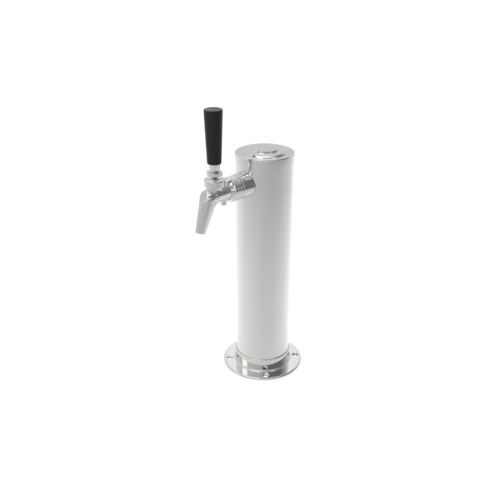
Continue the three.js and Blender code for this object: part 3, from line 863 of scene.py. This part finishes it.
def make_washers(settings):
    """The rubber washers on the faucet line."""
    for node, body, inner in (
        ("tailpiece_washer", "tower", 4.1 * MM),
        ("coupling_washer", "tower", 4.9 * MM),
        ("valve_washer", "plunger", 2.7 * MM),
    ):
        washer = tube(node + "_rubber", (inner, radius_of(node)), reach_of(node), FAUCET_LINE)
        dressed(washer, "washer_rubber", settings, body, node)


def make_coupling(settings):
    """The beaded nut that holds the faucet on the shank."""
    sizes = settings.faucet
    start, end = reach_of("coupling_nut")
    nose = end - 2.5 * MM
    back = start - 0.2 * MM
    pitch = (nose - start) / 3
    crest_radius = radius_of("coupling_nut")
    valley_radius = crest_radius - sizes.bead_height
    bore, cavity_radius = sizes.shank_radius + GAP, 13.2 * MM
    nose_bore = sizes.barrel_rear_radius + 0.08 * MM
    cavity = reach_of("coupling_snap_ring")[0] - GAP
    crest_round, valley_round = pitch / 4, pitch / 5
    corners = [(bore, back, EDGE), (crest_radius, back, 0.3 * pitch)]
    for index in (1, 2):
        valley = start + pitch * index
        corners.append((crest_radius, valley - 0.3 * pitch, crest_round))
        corners.append((valley_radius, valley, valley_round))
        corners.append((crest_radius, valley + 0.3 * pitch, crest_round))
    corners += [
        (crest_radius, nose - 0.2 * pitch, crest_round),
        (14.6 * MM, nose, EDGE),
        (12.7 * MM, end, 0.302 * MM),
        (nose_bore, end, FINE_EDGE),
        (nose_bore, nose),
        (cavity_radius, nose),
        (cavity_radius, cavity),
        (bore, cavity),
    ]
    nut = turned("coupling_nut_chromed", corners, FAUCET_LINE)
    dressed(nut, "chrome_forward", settings, "tower", "coupling_nut")


def spout_rings(form, sizes, corner):
    """Round sections of the spout, from inside the barrel round the bend and past the tip."""
    bend = QUARTER_TURN - sizes.spout_lean
    setback = sizes.bend_radius * math.tan(bend / 2)
    extra = sizes.barrel_front_radius - 0.5 * MM - sizes.spout_top_radius
    stations = []
    bend_steps, straight_steps = 24, 8
    for index in range(bend_steps + 1):
        part = index / bend_steps
        turn = bend * part
        forward = corner - setback + sizes.bend_radius * math.sin(turn)
        drop = sizes.bend_radius * (1 - math.cos(turn))
        stations.append((forward, drop, turn, sizes.spout_top_radius + extra * (1 - part) ** 3))
    past_tip = MM
    for index in range(1, straight_steps + 1):
        along = setback + (sizes.spout_length + past_tip - setback) * index / straight_steps
        part = (along - setback) / (sizes.spout_length - setback)
        radius = sizes.spout_top_radius + (sizes.spout_tip_radius - sizes.spout_top_radius) * part
        forward = corner + math.sin(sizes.spout_lean) * along
        stations.append((forward, math.cos(sizes.spout_lean) * along, bend, radius))
    previous = None
    ends = []
    for forward, drop, turn, radius in stations:
        ring = bmesh.ops.create_circle(
            form, cap_ends=False, segments=SPIN, radius=radius,
            matrix=on_faucet_line(forward, drop, turn),
        )
        edges = list(dict.fromkeys(edge for vert in ring["verts"] for edge in vert.link_edges))
        if previous is None:
            ends += edges
        else:
            bmesh.ops.bridge_loops(form, edges=previous + edges)
        previous = edges
    ends += previous
    bmesh.ops.holes_fill(form, edges=ends, sides=0)


def softened(made, voxel, passes, more_passes, widely):
    """Melts the joins of a casting into small fillets, and into wide ones where widely says."""
    step = made.modifiers.new("Melt", "REMESH")
    step.mode = "VOXEL"
    step.voxel_size = voxel
    settled(made)
    form = bmesh.new()
    form.from_mesh(made.data)
    wide = [vert for vert in form.verts if widely(vert.co)]
    for index in range(passes + more_passes):
        bmesh.ops.smooth_vert(
            form, verts=form.verts if index < passes else wide, factor=0.5,
            use_axis_x=True, use_axis_y=True, use_axis_z=True,
        )
    form.to_mesh(made.data)
    form.free()


def faucet_casting(sizes, start, corner, along_spout):
    """The faucet's barrel, elbow and spout in one melted form, with the facet ground on it."""
    rear = reach_of("faucet_body")[0]
    front = corner - 7.7 * MM
    swell = reach_of("coupling_nut")[1] + GAP
    flange, barrel = 12.9 * MM, sizes.barrel_front_radius
    casting = turned("faucet_body_chromed", [
        (0, rear),
        (flange, rear, FINE_EDGE),
        (flange, start, FINE_EDGE),
        (sizes.barrel_rear_radius, start),
        (sizes.barrel_rear_radius, swell, 5 * MM),
        (barrel, swell + 12 * MM, 30 * MM),
        (barrel, front + barrel, barrel * DOME),
        (0, front + barrel),
    ], FAUCET_LINE)
    spout = bmesh.new()
    spout_rings(spout, sizes, corner)
    spout = shaped("tool", spout)
    ball = sizes.spout_top_radius + sizes.elbow_swell
    crown, taper_start, taper_end = 2.4 * MM - ball, 2.7 * MM, 17 * MM
    elbow = cutter([
        (0, crown),
        (ball, crown, ball * DOME),
        (ball, taper_start),
        (sizes.spout_top_radius, taper_end),
        (0, taper_end),
    ], along_spout, SPIN)
    joined(casting, spout, elbow)
    aim = on_faucet_line(corner, 0, -sizes.facet_tilt) @ Matrix.Translation((0, -2.7 * MM, 0))
    cut(casting, rod(10 * MM, sizes.facet_reach, 18 * MM, aim, SPIN))

    def outside_nut(point):
        from_neck = math.hypot(point.x, point.y + LEVER_DISTANCE)
        on_neck = point.z > FAUCET_HEIGHT and from_neck < sizes.neck_radius + MM
        return -point.y > swell - MM and not on_neck

    softened(casting, sizes.cast_round, passes=8, more_passes=14, widely=outside_nut)
    return casting


def make_faucet(settings):
    """The cast faucet body with its neck, shoulder and bores, and the plug under it."""
    sizes = settings.faucet
    rear = reach_of("faucet_body")[0]
    start = rear + 2.9 * MM
    corner = LEVER_DISTANCE + 9.7 * MM
    bend = QUARTER_TURN - sizes.spout_lean
    along_spout = on_faucet_line(corner, 0, bend)
    body = faucet_casting(sizes, start, corner, along_spout)

    neck_top = above_faucet("faucet_body")[1]
    bonnet_foot = above_faucet("bonnet")[0] - HAIR
    shoulder, thread = radius_of("bonnet"), 10.2 * MM
    foot, rise = 7.15 * MM, 11.2 * MM
    joined(body, rod(sizes.neck_radius, 0, 9.6 * MM, LEVER_AXIS), cutter([
        (0, foot),
        (9.4 * MM, foot),
        (shoulder, rise, 2.3 * MM),
        (shoulder, bonnet_foot),
        (thread, bonnet_foot),
        (thread, neck_top, EDGE),
        (0, neck_top),
    ], LEVER_AXIS, SPIN))

    tip = on_faucet_line(
        corner + math.sin(sizes.spout_lean) * sizes.spout_length,
        math.cos(sizes.spout_lean) * sizes.spout_length,
        bend,
    )
    outlet = sizes.spout_tip_radius - sizes.spout_wall
    lip, mouth = outlet + 0.5 * MM, sizes.spout_length
    way_start = 2.5 * MM
    chamber, throat, way = 7.5 * MM, 4.2 * MM, 4.5 * MM
    chamber_end = corner - 3.7 * MM
    well, seal_well, seal_floor, well_top = 7.2 * MM, 9.2 * MM, 8.4 * MM, 20 * MM
    plug_low, plug_top = above_faucet("barrel_plug")
    plug_radius = radius_of("barrel_plug")
    plug_axis = upright_at(start + 6.8 * MM)
    cut(
        body,
        rod(20 * MM, 0, 12 * MM, tip),
        cutter([
            (0, way_start), (way, way_start), (outlet, mouth - 0.3 * MM),
            (lip, mouth + 0.1 * MM), (lip, mouth + OVERCUT), (0, mouth + OVERCUT),
        ], along_spout),
        rod(chamber, rear - OVERCUT, start + 6 * MM, FAUCET_LINE),
        rod(throat, start, start + 12 * MM, FAUCET_LINE),
        rod(chamber, start + 8.5 * MM, chamber_end, FAUCET_LINE),
        rod(way, chamber_end - OVERCUT, corner + 0.8 * MM, on_faucet_line(0, MM)),
        cutter([
            (0, 0), (well, 0), (well, seal_floor),
            (seal_well, seal_floor), (seal_well, well_top), (0, well_top),
        ], LEVER_AXIS),
        rod(plug_radius + GAP, -25 * MM, plug_top + GAP, plug_axis),
    )
    dressed(body, "chrome_cast", settings, "tower", "faucet_body", even=False)

    plug = turned("barrel_plug_chromed", [
        (0, plug_low),
        (plug_radius, plug_low, 1.4 * MM),
        (plug_radius, plug_top, FINE_EDGE),
        (0, plug_top),
    ], plug_axis, SMALL_SPIN)
    dressed(plug, "chrome_upright", settings, "tower", "barrel_plug")


def make_valve(settings):
    """The plunger with its guide and fork, and its nut, inside the barrel."""
    rear, front = reach_of("valve_plunger")
    shaft, guide, fork = 2.4 * MM, radius_of("valve_plunger"), 4.2 * MM
    fork_start = front - 10.3 * MM
    shaft_end = fork_start + 0.5 * MM
    plunger = turned("valve_plunger_turned", [
        (0, rear), (shaft, rear, 0.4 * MM), (shaft, shaft_end), (0, shaft_end),
    ], FAUCET_LINE, SMALL_SPIN)
    guide_rear = fork_start - 1.4 * MM
    guide_front = guide_rear + 1.8 * MM
    disc_guide = cutter([
        (0, guide_rear), (guide, guide_rear, FINE_EDGE),
        (guide, guide_front, FINE_EDGE), (0, guide_front),
    ], FAUCET_LINE)
    aside = Matrix.Translation((5.6 * MM, 0, 0))
    notches = []
    for degrees in (30, 150, 270):
        turn = Matrix.Rotation(math.radians(degrees), 4, "Z")
        place = FAUCET_LINE @ turn @ aside
        notches.append(rod(2.6 * MM, guide_rear - MM, guide_rear + OVERCUT, place, 32))
    cut(disc_guide, *notches)
    forked = cutter([
        (0, fork_start), (fork, fork_start, EDGE), (fork, front, 0.5 * MM), (0, front),
    ], FAUCET_LINE)
    slot = bmesh.new()
    slot_middle = Vector((0, 0, fork_start + 5.15 * MM))
    slot_size = Vector((5.2 * MM, 20 * MM, 6.3 * MM))
    bmesh.ops.create_cube(
        slot, size=1.0, matrix=FAUCET_LINE @ Matrix.LocRotScale(slot_middle, None, slot_size),
    )
    cut(forked, shaped("tool", slot))
    joined(plunger, disc_guide, forked)
    dressed(plunger, "stainless_forward", settings, "plunger", "valve_plunger")

    node = "plunger_nut"
    radii = shaft + GAP, radius_of(node)
    nut = tube("plunger_nut_turned", radii, reach_of(node), FAUCET_LINE, steps=SMALL_SPIN)
    dressed(nut, "unplated_brass", settings, "plunger", node)


# ---------------------------------------------------------------- lever stack


def make_bonnet(settings):
    """The bonnet on the neck, and the seat and seal of the lever's ball."""
    sizes = settings.lever
    low, high = above_faucet("bonnet")
    bore, opening = 10.5 * MM, sizes.bonnet_opening
    ceiling = high - 1.6 * MM
    bonnet = turned("bonnet_chromed", [
        (bore, low, FINE_EDGE),
        (sizes.bonnet_radius, low),
        (sizes.bonnet_radius, high, 1.5 * MM),
        (9.6 * MM, high, EDGE),
        (opening, high - 0.5 * MM, 0.1 * MM),
        (opening + 0.9 * MM, ceiling),
        (bore, ceiling),
    ], LEVER_AXIS)
    dressed(bonnet, "chrome_upright", settings, "tower", "bonnet")

    low, high = above_faucet("lever_seat")
    outer = radius_of("lever_seat")
    seat = turned("lever_seat_moulded", [
        (outer - 2 * MM, low), (outer, low, FINE_EDGE),
        (outer, high, FINE_EDGE), (outer - 0.6 * MM, high),
    ], LEVER_AXIS, SMALL_SPIN)
    dressed(seat, "milky_nylon", settings, "tower", "lever_seat")

    low, high = above_faucet("lever_seal")
    size = (high - low) / 2
    section = Matrix.Translation((radius_of("lever_seal") - size, 0, low + size))
    ring = bmesh.new()
    bmesh.ops.create_circle(
        ring, cap_ends=False, segments=24, radius=size,
        matrix=section @ Matrix.Rotation(QUARTER_TURN, 4, "X"),
    )
    spin_up(ring, SPIN)
    seal = shaped("lever_seal_rubber", ring, LEVER_AXIS)
    dressed(seal, "washer_rubber", settings, "tower", "lever_seal", even=False)


def make_lever(settings):
    """The lever with its ball and finger, and the ring on its stem."""
    sizes = settings.lever
    low, high = above_faucet("lever")
    finger_root = 12 * MM
    lever = turned("lever_turned", [
        (0, low),
        (sizes.finger_radius, low, 0.8 * MM),
        (sizes.finger_radius, finger_root),
        (sizes.stem_radius, finger_root),
        (sizes.stem_radius, high, 0.5 * MM),
        (0, high),
    ], LEVER_AXIS, SMALL_SPIN)
    centre = above_faucet("bonnet")[1] - 5.7 * MM
    ball = bmesh.new()
    bmesh.ops.create_uvsphere(
        ball, u_segments=80, v_segments=48, radius=sizes.ball_radius,
        matrix=LEVER_AXIS @ Matrix.Translation((0, 0, centre)),
    )
    joined(lever, shaped("tool", ball))
    dressed(lever, "stainless_upright", settings, "lever", "lever")

    low, high = above_faucet("lever_ring")
    bore = sizes.stem_radius + GAP
    ring = turned("lever_ring_chromed", [
        (bore, low, FINE_EDGE),
        (sizes.ring_radius, low, 0.6 * MM),
        (sizes.ring_radius, high, 0.7 * MM),
        (bore, high, FINE_EDGE),
    ], LEVER_AXIS)
    dressed(ring, "chrome_upright", settings, "lever", "lever_ring")


def make_handle(settings):
    """The black tap handle with its brass insert, on its chromed ferrule."""
    sizes = settings.lever
    bore = sizes.stem_radius + GAP
    low, high = above_faucet("handle_ferrule")
    ferrule = turned("handle_ferrule_chromed", [
        (bore, low, FINE_EDGE),
        (sizes.ferrule_bottom_radius, low, 0.4 * MM),
        (sizes.ferrule_top_radius, high - 0.5 * MM, EDGE),
        (sizes.ferrule_top_radius, high, 0.15 * MM),
        (bore, high, FINE_EDGE),
    ], LEVER_AXIS)
    dressed(ferrule, "chrome_upright", settings, "lever", "handle_ferrule")

    low, insert_top = above_faucet("handle_insert")
    outer = radius_of("handle_insert")
    span, rounds = (low, insert_top), (EDGE, EDGE)
    insert = tube("handle_insert_turned", (bore, outer), span, LEVER_AXIS, rounds)
    dressed(insert, "unplated_brass", settings, "lever", "handle_insert")

    low, top = above_faucet("tap_handle")
    socket, socket_top = outer + GAP, insert_top + GAP
    dish = sizes.handle_top_radius - 2 * sizes.handle_round
    dish_round = 2.4 * MM
    handle = turned("tap_handle_moulded", [
        (0, socket_top),
        (socket, socket_top, EDGE),
        (socket, low, EDGE),
        (sizes.handle_bottom_radius, low, 0.8 * MM),
        (sizes.handle_top_radius, top, sizes.handle_round),
        (dish, top, dish_round),
        (dish - 2 * MM, top - sizes.handle_dish, dish_round),
        (0, top - sizes.handle_dish),
    ], LEVER_AXIS)
    dressed(handle, "satin_plastic", settings, "lever", "tap_handle")


# ---------------------------------------------------------------- studio


# Greys of the surroundings as (degrees round from the camera, brightness) stops.
HORIZON_GREYS = [
    (-180, 1.0), (-158, 0.64), (-100, 0.6), (-60, 0.54), (-40, 0.5), (0, 0.5), (20, 0.28),
    (45, 0.17), (86, 0.16), (100, 0.34), (125, 0.6), (165, 0.68), (180, 1.0),
]
STRIP_GREYS = [
    (-180, 0.64), (-150, 0.66), (-100, 0.68), (-60, 0.72), (-38, 1.25), (12, 1.25), (24, 1.0),
    (40, 0.6), (60, 0.3), (74, 0.17), (92, 0.17), (106, 0.44), (120, 0.56), (160, 0.64),
    (180, 0.64),
]
CARD_GREYS = [
    (-180, 0.63), (-120, 0.65), (-100, 0.57), (-60, 0.56), (-40, 0.45), (-20, 0.37), (0, 0.42),
    (20, 0.25), (50, 0.16), (88, 0.17), (100, 0.3), (125, 0.6), (180, 0.63),
]
SOFT_BOX_GREYS = [
    (-180, 0.95), (-150, 0.72), (-120, 0.7), (-98, 0.6), (-92, 1.35), (-74, 1.35), (-64, 0.6),
    (-20, 0.52), (0, 0.46), (20, 0.32), (28, 0.15), (85, 0.15), (100, 0.27), (120, 0.43),
    (140, 0.7), (160, 0.74), (180, 0.95),
]
CEILING_GREYS = [
    (-180, 0.9), (-120, 0.8), (-80, 0.65), (-60, 0.48), (-20, 0.4), (30, 0.36), (60, 0.2),
    (96, 0.2), (120, 0.35), (140, 0.5), (180, 0.9),
]
OVERHEAD_GREYS = [
    (-180, 0.8), (-100, 0.75), (-72, 0.65), (-64, 1.4), (-18, 1.4), (-8, 0.55), (45, 0.5),
    (55, 0.95), (66, 0.95), (78, 0.3), (110, 0.33), (150, 0.6), (180, 0.8),
]
ZENITH_GREYS = [(-180, 0.7), (-90, 0.68), (0, 0.6), (60, 0.42), (100, 0.45), (180, 0.7)]

# The rings above the horizon, each with the degrees of height between which it comes in.
RINGS = (
    (8, 10.5, STRIP_GREYS), (16.8, 19, CARD_GREYS), (29, 31, SOFT_BOX_GREYS),
    (36.5, 41, CEILING_GREYS), (46, 49, OVERHEAD_GREYS), (64, 72, ZENITH_GREYS),
)

NEAR_TABLE_GREYS = [
    (-180, 1.15), (-140, 1.1), (-120, 1.0), (-80, 0.84), (-40, 0.72), (0, 0.64), (40, 0.66),
    (80, 0.79), (100, 0.9), (120, 1.03), (140, 1.13), (180, 1.15),
]
FAR_TABLE_GREYS = [
    (-180, 1.05), (-140, 0.91), (-100, 0.73), (-80, 0.62), (-20, 0.53), (20, 0.47), (60, 0.48),
    (80, 0.55), (100, 0.62), (120, 0.72), (140, 0.9), (160, 1.02), (180, 1.05),
]
TABLE_EDGE_GREYS = [
    (-180, 0.8), (-100, 0.6), (-20, 0.54), (0, 0.53), (12, 0.42), (20, 0.36), (42, 0.2),
    (86, 0.16), (100, 0.34), (120, 0.62), (180, 0.8),
]


def studio_place(paint, settings):
    """Where a point of the studio is: its turn from the camera as a share of a full turn, 0.5
    towards the camera, its distance from the tower's axis, and its height."""
    placed = paint.node("ShaderNodeMapping", {"vector_type": "POINT"}, {
        "Vector": paint.place(), "Rotation": (0.0, 0.0, -settings.studio.camera_turn),
    })
    x, y, z = paint.parts(placed)
    azimuth = paint.math("ARCTAN2", x, 0 - y) / FULL_TURN + 0.5
    return azimuth, paint.math("SQRT", x * x + y * y), z


def round_ramp(paint, azimuth, greys):
    """Grey by direction, from (degrees from the camera, grey) stops."""
    stops = [(degrees / 360 + 0.5, grey) for degrees, grey in greys]
    return paint.node("ShaderNodeValToRGB", {"stops": stops}, {0: azimuth})


def faded(paint, azimuth, tone, greys, amount):
    """A tone that gives way to other greys by direction."""
    return tone + (round_ramp(paint, azimuth, greys) - tone) * amount


def glow(paint, grey):
    """A material that shines in a grey of its own and lights nothing."""
    material = paint.finish(paint.node("ShaderNodeEmission", None, {"Color": grey}))
    material.cycles.emission_sampling = "NONE"
    return material


def studio_walls(settings):
    """What polished metal sees round it, from the horizon up: grey cards on the camera's right,
    a light strip all round, a soft box high on the left and a mid-grey ceiling."""
    paint = Paint("studio_walls")
    azimuth, reach, height = studio_place(paint, settings)
    elevation = paint.math("ARCTAN2", height, reach) * (180 / math.pi)
    tone = round_ramp(paint, azimuth, HORIZON_GREYS)
    for start, end, greys in RINGS:
        tone = faded(paint, azimuth, tone, greys, paint.window(elevation, start, end))
    return glow(paint, tone)


def studio_table(settings):
    """What polished metal sees below it: a white table that falls off to grey with distance,
    and meets a dark card on the camera's right. Under the flange it is darkened by a
    painted shadow."""
    paint = Paint("studio_table")
    azimuth, reach, _ = studio_place(paint, settings)
    tone = round_ramp(paint, azimuth, NEAR_TABLE_GREYS)
    distance = paint.node("ShaderNodeMapRange", None, {
        "Value": reach, "From Min": 0.1, "From Max": 0.8,
    })
    tone = faded(paint, azimuth, tone, FAR_TABLE_GREYS, distance)
    tone = faded(paint, azimuth, tone, TABLE_EDGE_GREYS, paint.window(reach, 0.95, 1.3))
    flange = settings.tower.flange_radius
    # Painted shadow: the table is made dark under the flange, where the flange would shade it.
    painted_flange_shadow = 1 - paint.window(reach, flange * 0.95, flange * 1.02)
    return glow(paint, tone * (1 - painted_flange_shadow * 0.9))


def pale_floor(settings):
    """The floor that the camera sees: nearly white, with a breath of shadow."""
    paint = Paint("pale_floor")
    tone = settings.studio.floor
    lit = paint.node("ShaderNodeBsdfDiffuse", None, {
        "Color": paint.shades(paint.noise(12.0, 3.0, 0.5), tone, tinted(tone, 0.995)),
    })
    own = paint.node("ShaderNodeEmission", None, {"Color": (1, 1, 1, 1), "Strength": 1.08})
    return paint.finish(paint.node("ShaderNodeMixShader", None, {0: 0.72, 1: lit, 2: own}))


def staged(name, form, material, only_reflected):
    """A surface of the studio, or one that only reflections see."""
    made = shaped(name, form)
    made.data.materials.append(material)
    if only_reflected:
        for ray in ("camera", "diffuse", "transmission", "volume_scatter", "shadow"):
            setattr(made, "visible_" + ray, False)
    else:
        made.visible_glossy = False


def disc(radius, segments, drop):
    form = bmesh.new()
    bmesh.ops.create_circle(
        form, cap_ends=True, segments=segments, radius=radius,
        matrix=Matrix.Translation((0, 0, -drop)),
    )
    return form


def make_studio(settings):
    """Floor, surroundings, soft light from all sides, and the camera of the photograph."""
    floor = disc(radius=6.0, segments=64, drop=0.2 * MM)
    table = disc(radius=2.0, segments=96, drop=0.4 * MM)
    dome = bmesh.new()
    bmesh.ops.create_icosphere(dome, subdivisions=5, radius=5.0)
    staged("studio_floor", floor, pale_floor(settings), only_reflected=False)
    staged("studio_table", table, studio_table(settings), only_reflected=True)
    staged("studio_walls", dome, studio_walls(settings), only_reflected=True)

    world = bpy.data.worlds.new("studio_light")
    world.use_nodes = True
    light = world.node_tree.nodes["Background"]
    light.inputs["Color"].default_value = (1.0, 1.0, 1.0, 1.0)
    light.inputs["Strength"].default_value = settings.studio.daylight
    scene = bpy.context.scene
    scene.world = world
    scene.view_settings.view_transform = "Standard"
    scene.view_settings.look = "None"

    lens = bpy.data.cameras.new("photo_camera")
    lens.lens = settings.studio.lens
    lens.sensor_width = 36.0
    lens.clip_start = 0.01
    camera = bpy.data.objects.new("photo_camera", lens)
    stand = Matrix.Translation((0.586992, -0.598789, 0.564156))
    right = Vector((0.69761689, 0.71646913, 0.00163238))
    up = Vector((-0.30153518, 0.29153269, 0.9077914))
    back = Vector((0.64992862, -0.63378283, 0.41941878))
    camera.matrix_world = stand @ Matrix((right, up, back)).transposed().to_4x4()
    scene.collection.objects.link(camera)
    scene.camera = camera


# ---------------------------------------------------------------- operators and panel


class BEERTOWER_OT_base(bpy.types.Operator):
    """Make the base flange"""

    bl_idname = "beertower.base"
    bl_label = "Base Flange"

    def execute(self, context):
        make_base(context.scene.beer_tower)
        return {"FINISHED"}


class BEERTOWER_OT_column(bpy.types.Operator):
    """Make the column and its foam lining"""

    bl_idname = "beertower.column"
    bl_label = "Column"

    def execute(self, context):
        make_column(context.scene.beer_tower)
        return {"FINISHED"}


class BEERTOWER_OT_cap(bpy.types.Operator):
    """Make the stepped cap"""

    bl_idname = "beertower.cap"
    bl_label = "Top Cap"

    def execute(self, context):
        make_cap(context.scene.beer_tower)
        return {"FINISHED"}


class BEERTOWER_OT_shank(bpy.types.Operator):
    """Make the shank, its collar and its clamp"""

    bl_idname = "beertower.shank"
    bl_label = "Shank"

    def execute(self, context):
        make_shank(context.scene.beer_tower)
        return {"FINISHED"}


class BEERTOWER_OT_tailpiece(bpy.types.Operator):
    """Make the tailpiece and its nut"""

    bl_idname = "beertower.tailpiece"
    bl_label = "Tailpiece"

    def execute(self, context):
        make_tailpiece(context.scene.beer_tower)
        return {"FINISHED"}


class BEERTOWER_OT_washers(bpy.types.Operator):
    """Make the rubber washers on the faucet line"""

    bl_idname = "beertower.washers"
    bl_label = "Washers"

    def execute(self, context):
        make_washers(context.scene.beer_tower)
        return {"FINISHED"}


class BEERTOWER_OT_coupling(bpy.types.Operator):
    """Make the coupling nut"""

    bl_idname = "beertower.coupling"
    bl_label = "Coupling Nut"

    def execute(self, context):
        make_coupling(context.scene.beer_tower)
        return {"FINISHED"}


class BEERTOWER_OT_faucet(bpy.types.Operator):
    """Make the faucet body and its plug"""

    bl_idname = "beertower.faucet"
    bl_label = "Faucet Body"

    def execute(self, context):
        make_faucet(context.scene.beer_tower)
        return {"FINISHED"}


class BEERTOWER_OT_valve(bpy.types.Operator):
    """Make the valve plunger and its nut"""

    bl_idname = "beertower.valve"
    bl_label = "Valve"

    def execute(self, context):
        make_valve(context.scene.beer_tower)
        return {"FINISHED"}


class BEERTOWER_OT_bonnet(bpy.types.Operator):
    """Make the bonnet, the lever seat and the seal"""

    bl_idname = "beertower.bonnet"
    bl_label = "Bonnet"

    def execute(self, context):
        make_bonnet(context.scene.beer_tower)
        return {"FINISHED"}


class BEERTOWER_OT_lever(bpy.types.Operator):
    """Make the lever and its ring"""

    bl_idname = "beertower.lever"
    bl_label = "Lever"

    def execute(self, context):
        make_lever(context.scene.beer_tower)
        return {"FINISHED"}


class BEERTOWER_OT_handle(bpy.types.Operator):
    """Make the tap handle, its ferrule and its insert"""

    bl_idname = "beertower.handle"
    bl_label = "Tap Handle"

    def execute(self, context):
        make_handle(context.scene.beer_tower)
        return {"FINISHED"}


class BEERTOWER_OT_studio(bpy.types.Operator):
    """Make the floor, the light and the camera"""

    bl_idname = "beertower.studio"
    bl_label = "Studio"

    def execute(self, context):
        make_studio(context.scene.beer_tower)
        return {"FINISHED"}


STEPS = (
    BEERTOWER_OT_base,
    BEERTOWER_OT_column,
    BEERTOWER_OT_cap,
    BEERTOWER_OT_shank,
    BEERTOWER_OT_tailpiece,
    BEERTOWER_OT_washers,
    BEERTOWER_OT_coupling,
    BEERTOWER_OT_faucet,
    BEERTOWER_OT_valve,
    BEERTOWER_OT_bonnet,
    BEERTOWER_OT_lever,
    BEERTOWER_OT_handle,
    BEERTOWER_OT_studio,
)

GROUPS = (TowerSizes, FaucetSizes, LeverSizes, FinishColours, StudioSettings, BeerTowerSettings)


class BEERTOWER_PT_panel(bpy.types.Panel):
    """Lists the tower's pieces and their settings"""

    bl_idname = "BEERTOWER_PT_panel"
    bl_label = "Beer Tower"
    bl_space_type = "VIEW_3D"
    bl_region_type = "UI"
    bl_category = "Beer Tower"

    def draw(self, context):
        settings = context.scene.beer_tower
        for step in STEPS:
            self.layout.operator(step.bl_idname)
        for part in BeerTowerSettings.__annotations__:
            group = getattr(settings, part)
            box = self.layout.box()
            for name in group.__annotations__:
                box.prop(group, name)


def register():
    for group in GROUPS:
        bpy.utils.register_class(group)
    bpy.types.Scene.beer_tower = bpy.props.PointerProperty(type=BeerTowerSettings)
    for step in STEPS:
        bpy.utils.register_class(step)
    bpy.utils.register_class(BEERTOWER_PT_panel)


def unregister():
    bpy.utils.unregister_class(BEERTOWER_PT_panel)
    for step in reversed(STEPS):
        bpy.utils.unregister_class(step)
    del bpy.types.Scene.beer_tower
    for group in reversed(GROUPS):
        bpy.utils.unregister_class(group)


def main():
    register()
    for step in STEPS:
        piece = step.bl_idname.split(".")[1]
        getattr(bpy.ops.beertower, piece)()


if __name__ == "__main__":
    main()
